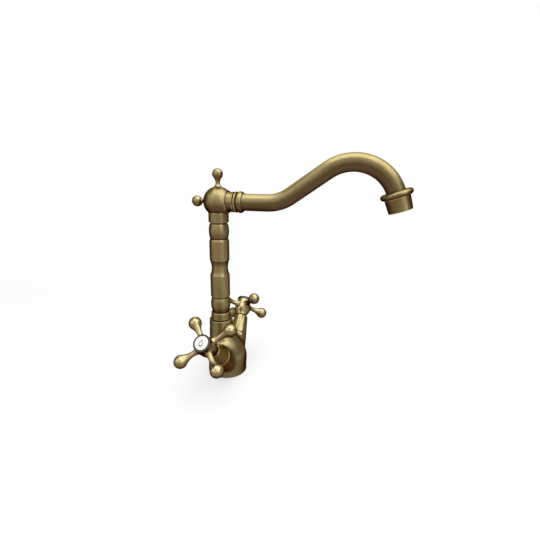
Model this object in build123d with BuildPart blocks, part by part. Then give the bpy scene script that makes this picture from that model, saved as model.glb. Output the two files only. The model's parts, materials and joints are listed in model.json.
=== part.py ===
# Swivel-spout kitchen mixer tap with two cross handles, in antique brass.
#
# Millimetres, +Z up. The origin is the centre of the round base on the worktop, +X is the way the
# spout points at rest, the hot valve is on the -Y side and the cold valve on the +Y side.

import os
from math import cos, pi, radians, sin, sqrt

from build123d import *

os.makedirs("parts", exist_ok=True)


# Clearances
RUN_GAP = 0.05          # radial gap of a piece that turns in its bore
FIT_GAP = 0.05          # radial gap of a fixed piece in its socket
SEAL_GAP = 0.02         # radial gap left outside a seal ring
FACE_GAP = 0.3          # play at the end of a bore or a tapped hole

# Body casting: round foot, waist and a column collar that stands behind the centre
BASE_R = 25.0
BASE_EDGE = 0.8
BAND_H = 8.0            # top of the straight band at the foot
WAIST_R = 22.8
WAIST_Z = 31.0
COLUMN_X = -8.0
MIDDLE_X = -5.6         # the casting leans back between waist and collar
MIDDLE_R = 17.5
COLLAR_R = 14.8
COLLAR_TOP = 71.5
COLLAR_STRAIGHT = 9.0   # height of the cylindrical top of the collar
COLLAR_EDGE = 1.4
BLEND_R = 8.0           # cast blend where a branch leaves the body
SOCKET_R = 10.6
SOCKET_DEPTH = 25.0

# Valve axes: each rises from the middle of the body to its side and leans a little to the back
VALVE_TILT = 42.5       # degrees above the horizontal
VALVE_SWEEP = 5.0       # degrees to the back, seen from above
VALVE_FOOT_X = 5.6
VALVE_FOOT_Z = 6.0

# Branches of the casting, lengths along the valve axis from its foot point
BRANCH_START = 14.0
BRANCH_START_R = 15.0
BRANCH_FACE = 43.5
BRANCH_FACE_R = 12.3
BRANCH_EDGE = 0.5

# Bonnet, the cover over the valve
BONNET_LENGTH = 26.8
BONNET_FOOT_R = 11.8
BONNET_TOP_R = 9.5
BONNET_TOP_EDGE = 1.4
BONNET_FOOT_EDGE = 0.4
BONNET_WALL = 1.3

# Valve cartridge
THREAD_R = 8.3
THREAD_LENGTH = 10.0
FLANGE_FLATS = 16.0
FLANGE_H = 4.0
GUIDE_R = 6.4
GUIDE_BELOW_TOP = 0.5   # the guide ends this far below the bonnet's top
HOUSING_R = 7.1
HOUSING_WALL = 0.8
CHAMBER_GAP = 0.6       # water gap round the housing
WINDOW_R = 1.2
WINDOW_COUNT = 6

# Ceramic discs and their seat
DISC_H = 2.4
PORT_R = 1.6
PORT_OFFSET = 3.5
SEAT_H = 2.2
SEAT_BORE_R = 5.2
DISC_TO_CEILING = 3.3   # room for the spindle's foot over the moving disc

# Spindle
SPINDLE_R = 4.0
SPINDLE_FOOT_R = 4.6
DRIVE_KEY_W = 2.4
DRIVE_KEY_H = 1.2
SPLINE_LENGTH = 9.0
SPLINE_TEETH = 20
SPLINE_DEPTH = 0.4
SEAL_GROOVE_DEPTH = 0.9
SEAL_GROOVE_W = 1.8
SEAL_BELOW_GUIDE = 7.0
CLIP_R = 5.4
CLIP_T = 0.7
CLIP_LIFT = 0.2

# Cross handle
HUB_AXIS_AT = 87.8      # from the foot point, along the valve axis, to the plane of the four balls
ARM_LENGTH = 32.2       # from the valve axis to the centre of a ball
ARM_COUNT = 4
ARM_BALL_R = 7.7
ARM_SWELL = 52.0        # degrees from the arm's axis to where its neck runs into the ball
ARM_NECK_R = 2.75
ARM_NECK_AT = 17.0
ARM_ROOT_R = 4.8
ARM_ROOT_AT = 8.5
HUB_R = 10.0
HUB_SHOULDER = 4.6      # top of the widest part, above the plane of the balls
HUB_TOP = 8.2
HUB_TOP_R = 9.0
HUB_SKIRT_R = 7.9
HUB_SKIRT_H = 1.5
HUB_SKIRT_FOOT = -15.9
HUB_HOLLOW_R = 6.4
HUB_HOLLOW_H = 3.6
HUB_WEB_FOOT = -3.0
HUB_WEB_TOP = 1.5
HUB_RECESS_R = 4.2
HANDLE_TURNS = {"hot": 43.4, "cold": 38.5}    # degrees from the level line to an arm, valve closed

# Handle screw
SCREW_R = 2.0
SCREW_HEAD_R = 3.6
SCREW_HEAD_H = 2.4
SCREW_LENGTH = 10.5
SCREW_SOCKET_FLATS = 3.0
SCREW_SOCKET_DEPTH = 1.4

# Index button on top of the handle
RIM_R = 9.9
RIM_H = 3.7
RIM_EDGE = 0.6
RIM_BOSS_R = 6.6
RIM_BOSS_H = 2.8
INDEX_R = 8.5
INDEX_H = 1.9
INDEX_DOME = 0.5

# Column, heights above the worktop and radii of the turned mouldings
COLUMN_FOOT = 73.0
COLUMN_R = 12.1
COLUMN_BORE_R = 6.6
PLINTH_R = 12.45
PLINTH_TOP = 81.6
PLINTH_EDGE = 1.0
LOW_GROOVE_Z = 83.5
LOW_GROOVE_R = 11.2
BARREL_R = 12.35
MID_GROOVE_Z = 99.9
MID_GROOVE_R = 11.1
LOWER_DRUM_FOOT = 101.2
LOWER_DRUM_TOP = 128.8
HOLLOW_R = 10.1
MIDDLE_DRUM_FOOT = 149.4
MIDDLE_DRUM_TOP = 172.4
HIGH_GROOVE_Z = 175.5
HIGH_GROOVE_R = 10.7
BEAD_R = 12.25
TOP_GROOVE_Z = 193.6
TOP_GROOVE_R = 10.8
UPPER_DRUM_FOOT = 195.2
DRUM_EDGE = 0.4

# Spigot of the column inside the collar
SPIGOT_LENGTH = 22.0
SEAL_W = 2.4
SEAL_DEPTH = 1.5
SEAL_FIRST = 6.1        # from the column's foot down to the first seal ring
SEAL_SPACING = 5.0
SEAL_COUNT = 2
LOCK_AT = 17.7          # from the column's foot down to the locking screw
LOCK_SCREW_R = 1.5
LOCK_SOCKET_FLATS = 1.5
LOCK_SOCKET_DEPTH = 1.5
LOCK_GROOVE_DEPTH = 1.2
LOCK_GROOVE_PLAY = 0.1  # room in the groove above and below the screw's tip
SWIVEL_WASHER_R = 11.7

# Head ball with its finial and rear knob, measured from the ball's centre
HEAD_Z = 219.7
HEAD_R = 17.6
HEAD_WALL = 2.0         # of the ball, between the column's spigot and the face of the spout
HEAD_SPIGOT_H = 4.0
ORNAMENT_STUD_R = 1.5
ORNAMENT_STUD_LENGTH = 4.0
FINIAL_R = 6.3
FINIAL_AT = 31.4
FINIAL_NECK_R = 2.6
FINIAL_NECK_AT = 21.3
KNOB_R = 6.5
KNOB_AT = 26.9
KNOB_NECK_R = 2.1
KNOB_NECK_AT = 19.3
ORNAMENT_FOOT_R = 4.4
ORNAMENT_SWELL = 48.0   # degrees from the axis to where the neck runs into the little ball

# Spout ferrule, lengths from the column axis along the spout
FLANGE_ANGLE = 49.1     # degrees on the ball, from the spout's axis to the rim of the flange
FERRULE_FLANGE_T = 1.5
FERRULE_R = 11.9
FERRULE_HOLLOW = 0.25   # slight hollow of the plain part
FERRULE_PLAIN_END = 20.7
FERRULE_GROOVE_R = 11.1
FERRULE_RING_START = 21.7
FERRULE_RING_END = 24.2
FERRULE_BEAD_START = 25.0
FERRULE_BEAD_END = 31.6
FERRULE_BEAD_R = 12.5
FERRULE_LIP_R = 10.7

# Spout tube
TUBE_R = 9.75
TUBE_WALL = 1.4
TUBE_IN_BALL = 0.9
TUBE_LEVEL_END = 60.2   # from the column axis
RISE_BEND_R = 46.0
RISE_ANGLE = 35.0
RISE_LENGTH = 48.0
ARCH_BEND_R = 47.3
ARCH_ANGLE = 106.0
TUBE_TAIL = 3.0         # straight end beyond the outlet bead's middle
BEND_GAP = 0.2          # room in the outlet bead for the end of the arch

# Outlet, lengths along the flow from the middle of the outlet bead
OUTLET_BEAD_R = 3.2
OUTLET_BEAD_OUTER_R = 16.6
NIPPLE_R = 11.3
NIPPLE_END = 10.0
AERATOR_END = 17.9
AERATOR_TOP_R = 13.2
AERATOR_MOUTH_R = 12.4
AERATOR_EDGE = 0.4
AERATOR_LIP_R = 10.3
AERATOR_LIP_H = 1.1
AERATOR_WASHER_H = 1.6
SCREEN_H = 0.8
SCREEN_WIRE = 0.6
SCREEN_PITCH = 2.0
SCREEN_RIM = 1.2
INSERT_HOLE_R = 0.9
INSERT_RINGS = {3.2: 6, 6.2: 12, 9.0: 18}     # hole circles: radius and how many

# Fixing through the worktop
WORKTOP_T = 30.0
STUD_X = 13.0
STUD_R = 4.0
STUD_EDGE = 0.8
STUD_IN_BODY = 10.0
STUD_BELOW_NUT = 10.0
CLAMP_R = 24.0
CLAMP_GAP_W = 31.0      # width of the opening for the two hoses
CLAMP_GAP_END = 5.0
CLAMP_GAP_ROUND = 10.0  # corner radius of that opening
CLAMP_HOLE_GAP = 0.3
PAD_T = 2.5
PLATE_T = 2.5
NUT_FLATS = 13.0
NUT_H = 6.5
NUT_WASHER_R = 8.0
NUT_WASHER_T = 1.6
GASKET_R = 20.5
GASKET_W = 2.6
GASKET_H = 1.8

# Inlets and waterways
INLET_X = -4.0
INLET_Y = 9.5
INLET_R = 5.0
INLET_DEPTH = 12.0
WATERWAY_R = 3.2


# Places worked out from the sizes above
def valve_plane(side):
    """Frame of a valve: origin at its foot point, x level, y up its slope, z along its axis."""
    tilt = radians(VALVE_TILT)
    sweep = radians(VALVE_SWEEP)
    axis = Vector(-sin(sweep) * cos(tilt), side * cos(sweep) * cos(tilt), sin(tilt))
    level = Vector(0, 0, 1).cross(axis)
    return Plane(origin=(VALVE_FOOT_X, 0, VALVE_FOOT_Z), x_dir=level, z_dir=axis)


SIDES = {"hot": -1, "cold": 1}
VALVES = {name: valve_plane(side) for name, side in SIDES.items()}

column_plane = Plane(origin=(COLUMN_X, 0, 0), x_dir=(1, 0, 0), z_dir=(0, -1, 0))
column_axis = Axis((COLUMN_X, 0, 0), (0, 0, 1))
spout_axis = Axis((COLUMN_X, 0, HEAD_Z), (1, 0, 0))

thread_foot = BRANCH_FACE - THREAD_LENGTH
disc_top = thread_foot - DISC_TO_CEILING
fixed_disc_foot = disc_top - 2 * DISC_H
seat_foot = fixed_disc_foot - SEAT_H
disc_r = HOUSING_R - HOUSING_WALL - FIT_GAP
chamber_r = HOUSING_R + CHAMBER_GAP
bonnet_top = BRANCH_FACE + BONNET_LENGTH
guide_top = bonnet_top - GUIDE_BELOW_TOP
spindle_top = HUB_AXIS_AT + HUB_WEB_FOOT
spindle_bore_r = SPINDLE_R + RUN_GAP
spigot_r = SOCKET_R - RUN_GAP
spigot_foot = COLUMN_FOOT - SPIGOT_LENGTH
seal_heights = [COLUMN_FOOT - SEAL_FIRST - i * SEAL_SPACING for i in range(SEAL_COUNT)]
lock_z = COLUMN_FOOT - LOCK_AT
lock_groove_w = 2 * (LOCK_SCREW_R + LOCK_GROOVE_PLAY)
lock_plane = Plane(origin=(COLUMN_X, 0, lock_z), z_dir=(-1, 0, 0))
ball_foot = HEAD_Z - sqrt(HEAD_R**2 - COLUMN_R**2)
ball_face = HEAD_R * cos(radians(FLANGE_ANGLE))
flange_r = HEAD_R * sin(radians(FLANGE_ANGLE))
head_spigot_r = ball_face - HEAD_WALL
tube_start = ball_face - TUBE_IN_BALL
ornament_seat = sqrt(HEAD_R**2 - ORNAMENT_FOOT_R**2)
ferrule_face = ball_face + FERRULE_FLANGE_T
tube_bore_r = TUBE_R - TUBE_WALL
tube_socket_r = TUBE_R + FIT_GAP
inlets = {name: (INLET_X, side * INLET_Y) for name, side in SIDES.items()}
pad_top = -WORKTOP_T
plate_top = pad_top - PAD_T
washer_top = plate_top - PLATE_T
nut_top = washer_top - NUT_WASHER_T
stud_foot = nut_top - NUT_H - STUD_BELOW_NUT


def upright(plane):
    """Plane through a valve's axis, with y along the axis."""
    return Plane(origin=plane.origin, x_dir=plane.x_dir, z_dir=-plane.y_dir)


def valve_axis(plane):
    return Axis(plane.origin, plane.z_dir)


def valve_point(name, height):
    """Point on a valve's axis, at a height from its foot point."""
    return VALVES[name].from_local_coords(Vector(0, 0, height))


def passage(start, end):
    """Plane at the start of a drilled waterway, facing its end, and its length."""
    run = Vector(end) - Vector(start)
    return Plane(origin=start, z_dir=run), run.length


def ball_on_neck(ball_r, ball_at, swell, neck_r, neck_at, foot_r, foot_at):
    """Half outline of a ball on a waisted neck, lying along +X."""
    angle = radians(swell)
    joint = (ball_at - ball_r * cos(angle), ball_r * sin(angle))
    with BuildSketch() as half:
        with BuildLine():
            Line((foot_at, 0), (foot_at, foot_r))
            Spline(
                (foot_at, foot_r),
                (neck_at, neck_r),
                joint,
                tangents=((neck_at - foot_at, neck_r - foot_r), (sin(angle), cos(angle))),
            )
            ThreePointArc(joint, (ball_at, ball_r), (ball_at + ball_r, 0))
            Line((ball_at + ball_r, 0), (foot_at, 0))
        make_face()
    return half.sketch


# Body casting, from the round foot up to the column collar
middle_z = (WAIST_Z + COLLAR_TOP - COLLAR_STRAIGHT) / 2
body_sections = [
    (0.0, 0.0, BASE_R),
    (BAND_H, 0.0, BASE_R),
    (WAIST_Z, 0.0, WAIST_R),
    (middle_z, MIDDLE_X, MIDDLE_R),
    (COLLAR_TOP - COLLAR_STRAIGHT, COLUMN_X, COLLAR_R),
]

with BuildPart() as tap_body:
    for height, x, radius in body_sections:
        with BuildSketch(Plane.XY.offset(height)):
            with Locations((x, 0)):
                Circle(radius)
    loft()
    with BuildSketch(Plane.XY.offset(COLLAR_TOP - COLLAR_STRAIGHT)):
        with Locations((COLUMN_X, 0)):
            Circle(COLLAR_R)
    extrude(amount=COLLAR_STRAIGHT)
    chamfer(tap_body.faces().sort_by(Axis.Z)[-1].edges(), COLLAR_EDGE)
    chamfer(tap_body.faces().sort_by(Axis.Z)[0].edges(), BASE_EDGE)
    # The two branches, blended into the body
    for plane in VALVES.values():
        with BuildSketch(upright(plane)):
            with BuildLine():
                Polyline(
                    (0, BRANCH_START),
                    (BRANCH_START_R, BRANCH_START),
                    (BRANCH_FACE_R, BRANCH_FACE - BRANCH_EDGE),
                    (BRANCH_FACE_R - BRANCH_EDGE, BRANCH_FACE),
                    (0, BRANCH_FACE),
                    close=True,
                )
            make_face()
        revolve(axis=valve_axis(plane))
    splines = tap_body.edges().filter_by(GeomType.BSPLINE)
    seams = splines.filter_by(lambda edge: abs(edge.center().Y) > INLET_Y)
    fillet(seams, BLEND_R)
    # Column socket with the hole of its locking screw
    with BuildSketch(Plane.XY.offset(COLLAR_TOP)):
        with Locations((COLUMN_X, 0)):
            Circle(SOCKET_R)
    extrude(amount=-SOCKET_DEPTH, mode=Mode.SUBTRACT)
    with BuildSketch(lock_plane):
        Circle(LOCK_SCREW_R + FIT_GAP)
    extrude(amount=2 * COLLAR_R, mode=Mode.SUBTRACT)
    # Valve cavities: thread for the cartridge, water chamber below it, seat at the bottom
    for plane in VALVES.values():
        with BuildSketch(plane.offset(BRANCH_FACE)):
            Circle(THREAD_R + FIT_GAP)
        extrude(amount=-THREAD_LENGTH, mode=Mode.SUBTRACT)
        with BuildSketch(plane.offset(thread_foot)):
            Circle(chamber_r)
        extrude(amount=seat_foot - thread_foot, mode=Mode.SUBTRACT)
    # Waterways: inlet to seat, and chamber to column socket
    for name, (x, y) in inlets.items():
        with BuildSketch():
            with Locations((x, y)):
                Circle(INLET_R)
        extrude(amount=INLET_DEPTH, mode=Mode.SUBTRACT)
        inlet_roof = (x, y, INLET_DEPTH - WATERWAY_R / 2)
        socket_floor = (COLUMN_X, 0, COLLAR_TOP - SOCKET_DEPTH + WATERWAY_R)
        for start, end in (
            (inlet_roof, valve_point(name, seat_foot)),
            (valve_point(name, (disc_top + thread_foot) / 2), socket_floor),
        ):
            way, length = passage(start, end)
            with BuildSketch(way):
                Circle(WATERWAY_R)
            extrude(amount=length, mode=Mode.SUBTRACT)
    # Hole for the fixing stud and groove for the base gasket
    with BuildSketch():
        with Locations((STUD_X, 0)):
            Circle(STUD_R + FIT_GAP)
    extrude(amount=STUD_IN_BODY, mode=Mode.SUBTRACT)
    with BuildSketch():
        Circle(GASKET_R + GASKET_W / 2)
        Circle(GASKET_R - GASKET_W / 2, mode=Mode.SUBTRACT)
    extrude(amount=GASKET_H, mode=Mode.SUBTRACT)

tap_body.part.label = "tap_body"
export_step(tap_body.part, "parts/tap_body.step")


# Base gasket
with BuildPart() as base_gasket:
    with BuildSketch():
        Circle(GASKET_R + GASKET_W / 2 - FIT_GAP)
        Circle(GASKET_R - GASKET_W / 2 + FIT_GAP, mode=Mode.SUBTRACT)
    extrude(amount=GASKET_H)

base_gasket.part.label = "base_gasket"
export_step(base_gasket.part, "parts/base_gasket.step")


# Fixing stud
with BuildPart() as fixing_stud:
    with BuildSketch(Plane.XY.offset(STUD_IN_BODY)):
        with Locations((STUD_X, 0)):
            Circle(STUD_R)
    extrude(amount=stud_foot - STUD_IN_BODY)
    chamfer(fixing_stud.faces().sort_by(Axis.Z)[0].edges(), STUD_EDGE)

fixing_stud.part.label = "fixing_stud"
export_step(fixing_stud.part, "parts/fixing_stud.step")


def clamp_outline():
    """Horseshoe with an opening for the hoses and a hole for the stud."""
    Circle(CLAMP_R)
    with Locations((CLAMP_GAP_END - CLAMP_R, 0)):
        RectangleRounded(2 * CLAMP_R, CLAMP_GAP_W, CLAMP_GAP_ROUND, mode=Mode.SUBTRACT)
    with Locations((STUD_X, 0)):
        Circle(STUD_R + CLAMP_HOLE_GAP, mode=Mode.SUBTRACT)


# Rubber pad under the worktop
with BuildPart() as clamp_pad:
    with BuildSketch(Plane.XY.offset(pad_top)):
        clamp_outline()
    extrude(amount=-PAD_T)

clamp_pad.part.label = "clamp_pad"
export_step(clamp_pad.part, "parts/clamp_pad.step")


# Steel clamp plate
with BuildPart() as clamp_plate:
    with BuildSketch(Plane.XY.offset(plate_top)):
        clamp_outline()
    extrude(amount=-PLATE_T)

clamp_plate.part.label = "clamp_plate"
export_step(clamp_plate.part, "parts/clamp_plate.step")


# Washer and nut on the stud
with BuildPart() as nut_washer:
    with BuildSketch(Plane.XY.offset(washer_top)):
        with Locations((STUD_X, 0)):
            Circle(NUT_WASHER_R)
            Circle(STUD_R + CLAMP_HOLE_GAP, mode=Mode.SUBTRACT)
    extrude(amount=-NUT_WASHER_T)

nut_washer.part.label = "nut_washer"
export_step(nut_washer.part, "parts/nut_washer.step")

with BuildPart() as fixing_nut:
    with BuildSketch(Plane.XY.offset(nut_top)):
        with Locations((STUD_X, 0)):
            RegularPolygon(NUT_FLATS / 2, 6, major_radius=False)
            Circle(STUD_R + FIT_GAP, mode=Mode.SUBTRACT)
    extrude(amount=-NUT_H)

fixing_nut.part.label = "fixing_nut"
export_step(fixing_nut.part, "parts/fixing_nut.step")


# Swivel washer between collar and column
with BuildPart() as swivel_washer:
    with BuildSketch(Plane.XY.offset(COLLAR_TOP)):
        with Locations((COLUMN_X, 0)):
            Circle(SWIVEL_WASHER_R)
            Circle(spigot_r + FIT_GAP, mode=Mode.SUBTRACT)
    extrude(amount=COLUMN_FOOT - COLLAR_TOP)

swivel_washer.part.label = "swivel_washer"
export_step(swivel_washer.part, "parts/swivel_washer.step")


# Column: turned mouldings, with a spigot below and another above
with BuildPart() as swivel_column:
    with BuildSketch(column_plane):
        with BuildLine():
            Polyline(
                (COLUMN_BORE_R, spigot_foot),
                (spigot_r, spigot_foot),
                (spigot_r, COLUMN_FOOT),
                (PLINTH_R, COLUMN_FOOT),
                (PLINTH_R, PLINTH_TOP - PLINTH_EDGE),
                (LOW_GROOVE_R + PLINTH_EDGE / 2, PLINTH_TOP),
                (LOW_GROOVE_R, PLINTH_TOP + PLINTH_EDGE / 4),
                (LOW_GROOVE_R, LOW_GROOVE_Z),
            )
            ThreePointArc(
                (LOW_GROOVE_R, LOW_GROOVE_Z),
                (BARREL_R, (LOW_GROOVE_Z + MID_GROOVE_Z) / 2),
                (MID_GROOVE_R, MID_GROOVE_Z),
            )
            Polyline(
                (MID_GROOVE_R, MID_GROOVE_Z),
                (MID_GROOVE_R, LOWER_DRUM_FOOT - DRUM_EDGE),
                (COLUMN_R - DRUM_EDGE, LOWER_DRUM_FOOT - DRUM_EDGE),
                (COLUMN_R, LOWER_DRUM_FOOT),
                (COLUMN_R, LOWER_DRUM_TOP),
            )
            ThreePointArc(
                (COLUMN_R, LOWER_DRUM_TOP),
                (HOLLOW_R, (LOWER_DRUM_TOP + MIDDLE_DRUM_FOOT) / 2),
                (COLUMN_R, MIDDLE_DRUM_FOOT),
            )
            Polyline(
                (COLUMN_R, MIDDLE_DRUM_FOOT),
                (COLUMN_R, MIDDLE_DRUM_TOP),
                (HIGH_GROOVE_R, HIGH_GROOVE_Z),
            )
            ThreePointArc(
                (HIGH_GROOVE_R, HIGH_GROOVE_Z),
                (BEAD_R, (HIGH_GROOVE_Z + TOP_GROOVE_Z) / 2),
                (TOP_GROOVE_R, TOP_GROOVE_Z),
            )
            Polyline(
                (TOP_GROOVE_R, TOP_GROOVE_Z),
                (TOP_GROOVE_R, UPPER_DRUM_FOOT - DRUM_EDGE),
                (COLUMN_R - DRUM_EDGE, UPPER_DRUM_FOOT - DRUM_EDGE),
                (COLUMN_R, UPPER_DRUM_FOOT),
                (COLUMN_R, ball_foot),
                (head_spigot_r, ball_foot),
                (head_spigot_r, ball_foot + HEAD_SPIGOT_H),
                (COLUMN_BORE_R, ball_foot + HEAD_SPIGOT_H),
                (COLUMN_BORE_R, spigot_foot),
            )
        make_face()
        # Grooves of the seal rings and of the locking screw
        for z in seal_heights:
            with Locations((spigot_r, z)):
                Rectangle(2 * SEAL_DEPTH, SEAL_W, mode=Mode.SUBTRACT)
        with Locations((spigot_r, lock_z)):
            Rectangle(2 * LOCK_GROOVE_DEPTH, lock_groove_w, mode=Mode.SUBTRACT)
    revolve(axis=column_axis)

swivel_column.part.label = "swivel_column"
export_step(swivel_column.part, "parts/swivel_column.step")


# Seal rings of the spigot
with BuildPart() as swivel_seals:
    with BuildSketch(column_plane):
        seal_inner_r = spigot_r - SEAL_DEPTH + FIT_GAP
        seal_outer_r = SOCKET_R - SEAL_GAP
        with Locations([((seal_inner_r + seal_outer_r) / 2, z) for z in seal_heights]):
            RectangleRounded(seal_outer_r - seal_inner_r, SEAL_W - 2 * FIT_GAP, SEAL_DEPTH / 3)
    revolve(axis=column_axis)

swivel_seals.part.label = "swivel_seals"
export_step(swivel_seals.part, "parts/swivel_seals.step")


# Locking screw behind the collar, its tip in the groove of the spigot
lock_tip_r = spigot_r - LOCK_GROOVE_DEPTH + FACE_GAP
with BuildPart() as lock_screw:
    with BuildSketch(lock_plane.offset(lock_tip_r)):
        Circle(LOCK_SCREW_R)
    extrude(amount=COLLAR_R - lock_tip_r)
    with BuildSketch(lock_plane.offset(COLLAR_R)):
        RegularPolygon(LOCK_SOCKET_FLATS / 2, 6, major_radius=False)
    extrude(amount=-LOCK_SOCKET_DEPTH, mode=Mode.SUBTRACT)

lock_screw.part.label = "lock_screw"
export_step(lock_screw.part, "parts/lock_screw.step")


# Seats of the two ornaments on the head ball: finial on top, knob behind
ornament_seats = [
    Plane(origin=(COLUMN_X, 0, HEAD_Z + ornament_seat), z_dir=(0, 0, 1)),
    Plane(origin=(COLUMN_X - ornament_seat, 0, HEAD_Z), z_dir=(-1, 0, 0)),
]


# Head ball: seat for the column below, socket for the tube in front, tapped holes for the ornaments
with BuildPart() as head_ball:
    with BuildSketch(column_plane):
        with BuildLine():
            ThreePointArc(
                (COLUMN_R, ball_foot),
                (HEAD_R, HEAD_Z),
                (0, HEAD_Z + HEAD_R),
            )
            Polyline((0, HEAD_Z + HEAD_R), (0, ball_foot), (COLUMN_R, ball_foot))
        make_face()
    revolve(axis=column_axis)
    with BuildSketch(Plane.YZ.offset(COLUMN_X + ball_face)):
        with Locations((0, HEAD_Z)):
            Circle(HEAD_R)
    extrude(amount=HEAD_R, mode=Mode.SUBTRACT)
    with BuildSketch(Plane.YZ.offset(COLUMN_X + ball_face)):
        with Locations((0, HEAD_Z)):
            Circle(tube_socket_r)
    extrude(amount=-ball_face, mode=Mode.SUBTRACT)
    with BuildSketch(Plane.XY.offset(ball_foot)):
        with Locations((COLUMN_X, 0)):
            Circle(head_spigot_r + FIT_GAP)
    extrude(amount=HEAD_Z - ball_foot, mode=Mode.SUBTRACT)
    for seat in ornament_seats:
        with BuildSketch(seat):
            Circle(HEAD_R)
        extrude(amount=HEAD_R - ornament_seat, mode=Mode.SUBTRACT)
        with BuildSketch(seat):
            Circle(ORNAMENT_STUD_R + FIT_GAP)
        extrude(amount=-ORNAMENT_STUD_LENGTH - FACE_GAP, mode=Mode.SUBTRACT)

head_ball.part.label = "head_ball"
export_step(head_ball.part, "parts/head_ball.step")


def ornament(ball_r, ball_at, neck_r, neck_at):
    """Half outline of a little ball on a neck, standing on its seat on the head ball."""
    return ball_on_neck(ball_r, ball_at, ORNAMENT_SWELL, neck_r, neck_at, ORNAMENT_FOOT_R, ornament_seat)


# Finial on top of the head ball
finial_plane = Plane(origin=(COLUMN_X, 0, HEAD_Z), x_dir=(0, 0, 1), z_dir=(0, -1, 0))
with BuildPart() as finial:
    with BuildSketch(finial_plane):
        add(ornament(FINIAL_R, FINIAL_AT, FINIAL_NECK_R, FINIAL_NECK_AT))
    revolve(axis=column_axis)
    with BuildSketch(ornament_seats[0]):
        Circle(ORNAMENT_STUD_R)
    extrude(amount=-ORNAMENT_STUD_LENGTH)

finial.part.label = "finial"
export_step(finial.part, "parts/finial.step")


# Knob behind the head ball
knob_plane = Plane(origin=(COLUMN_X, 0, HEAD_Z), x_dir=(-1, 0, 0), z_dir=(0, 1, 0))
with BuildPart() as rear_knob:
    with BuildSketch(knob_plane):
        add(ornament(KNOB_R, KNOB_AT, KNOB_NECK_R, KNOB_NECK_AT))
    revolve(axis=spout_axis)
    with BuildSketch(ornament_seats[1]):
        Circle(ORNAMENT_STUD_R)
    extrude(amount=-ORNAMENT_STUD_LENGTH)

rear_knob.part.label = "rear_knob"
export_step(rear_knob.part, "parts/rear_knob.step")


# Spout ferrule: flange, plain part, thin ring and end bead, round the start of the tube
ferrule_plane = Plane(origin=(COLUMN_X, 0, HEAD_Z), x_dir=(1, 0, 0), z_dir=(0, -1, 0))
with BuildPart() as spout_ferrule:
    with BuildSketch(ferrule_plane):
        with BuildLine():
            Polyline(
                (ball_face, tube_socket_r),
                (ball_face, flange_r),
                (ferrule_face, flange_r),
                (ferrule_face, FERRULE_R),
            )
            ThreePointArc(
                (ferrule_face, FERRULE_R),
                ((ferrule_face + FERRULE_PLAIN_END) / 2, FERRULE_R - FERRULE_HOLLOW),
                (FERRULE_PLAIN_END, FERRULE_R),
            )
            Polyline(
                (FERRULE_PLAIN_END, FERRULE_R),
                (FERRULE_PLAIN_END, FERRULE_GROOVE_R),
                (FERRULE_RING_START, FERRULE_GROOVE_R),
            )
            ThreePointArc(
                (FERRULE_RING_START, FERRULE_GROOVE_R),
                ((FERRULE_RING_START + FERRULE_RING_END) / 2, FERRULE_R + FERRULE_HOLLOW),
                (FERRULE_RING_END, FERRULE_GROOVE_R),
            )
            Line((FERRULE_RING_END, FERRULE_GROOVE_R), (FERRULE_BEAD_START, FERRULE_GROOVE_R))
            ThreePointArc(
                (FERRULE_BEAD_START, FERRULE_GROOVE_R),
                ((FERRULE_BEAD_START + FERRULE_BEAD_END) / 2, FERRULE_BEAD_R),
                (FERRULE_BEAD_END, FERRULE_LIP_R),
            )
            Polyline(
                (FERRULE_BEAD_END, FERRULE_LIP_R),
                (FERRULE_BEAD_END, tube_socket_r),
                (ball_face, tube_socket_r),
            )
        make_face()
    revolve(axis=spout_axis)
    # The flange is notched where it meets the column
    with BuildSketch(Plane.XY.offset(ball_foot)):
        with Locations((COLUMN_X, 0)):
            Circle(COLUMN_R + FIT_GAP)
    extrude(amount=-HEAD_R, mode=Mode.SUBTRACT)

spout_ferrule.part.label = "spout_ferrule"
export_step(spout_ferrule.part, "parts/spout_ferrule.step")


# Spout tube: level run, bend up, straight rise and the arch down to the outlet
with BuildPart() as spout_tube:
    with BuildLine(ferrule_plane) as tube_path:
        level_run = Line((tube_start, 0), (TUBE_LEVEL_END, 0))
        bend = JernArc(level_run @ 1, level_run % 1, RISE_BEND_R, RISE_ANGLE)
        rise = Line(bend @ 1, bend @ 1 + bend % 1 * RISE_LENGTH)
        arch = JernArc(rise @ 1, rise % 1, ARCH_BEND_R, -ARCH_ANGLE)
        tail = Line(arch @ 1, arch @ 1 + arch % 1 * TUBE_TAIL)
    with BuildSketch(Plane(origin=tube_path.line @ 0, z_dir=tube_path.line % 0)):
        Circle(TUBE_R)
        Circle(tube_bore_r, mode=Mode.SUBTRACT)
    sweep()

outlet_centre = arch @ 1
outlet_flow = arch % 1

spout_tube.part.label = "spout_tube"
export_step(spout_tube.part, "parts/spout_tube.step")


# Outlet pieces share one frame: x along the flow and y outwards from its axis
outlet_plane = Plane(origin=outlet_centre, x_dir=outlet_flow, z_dir=(0, 1, 0))
outlet_axis = Axis(outlet_centre, outlet_flow)
flow_plane = Plane(origin=outlet_centre, z_dir=outlet_flow)
shell_bore_r = NIPPLE_R + FIT_GAP
lip_at = AERATOR_END - AERATOR_LIP_H
screen_at = lip_at - SCREEN_H
insert_at = NIPPLE_END + AERATOR_WASHER_H
insert_r = shell_bore_r - FIT_GAP

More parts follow.
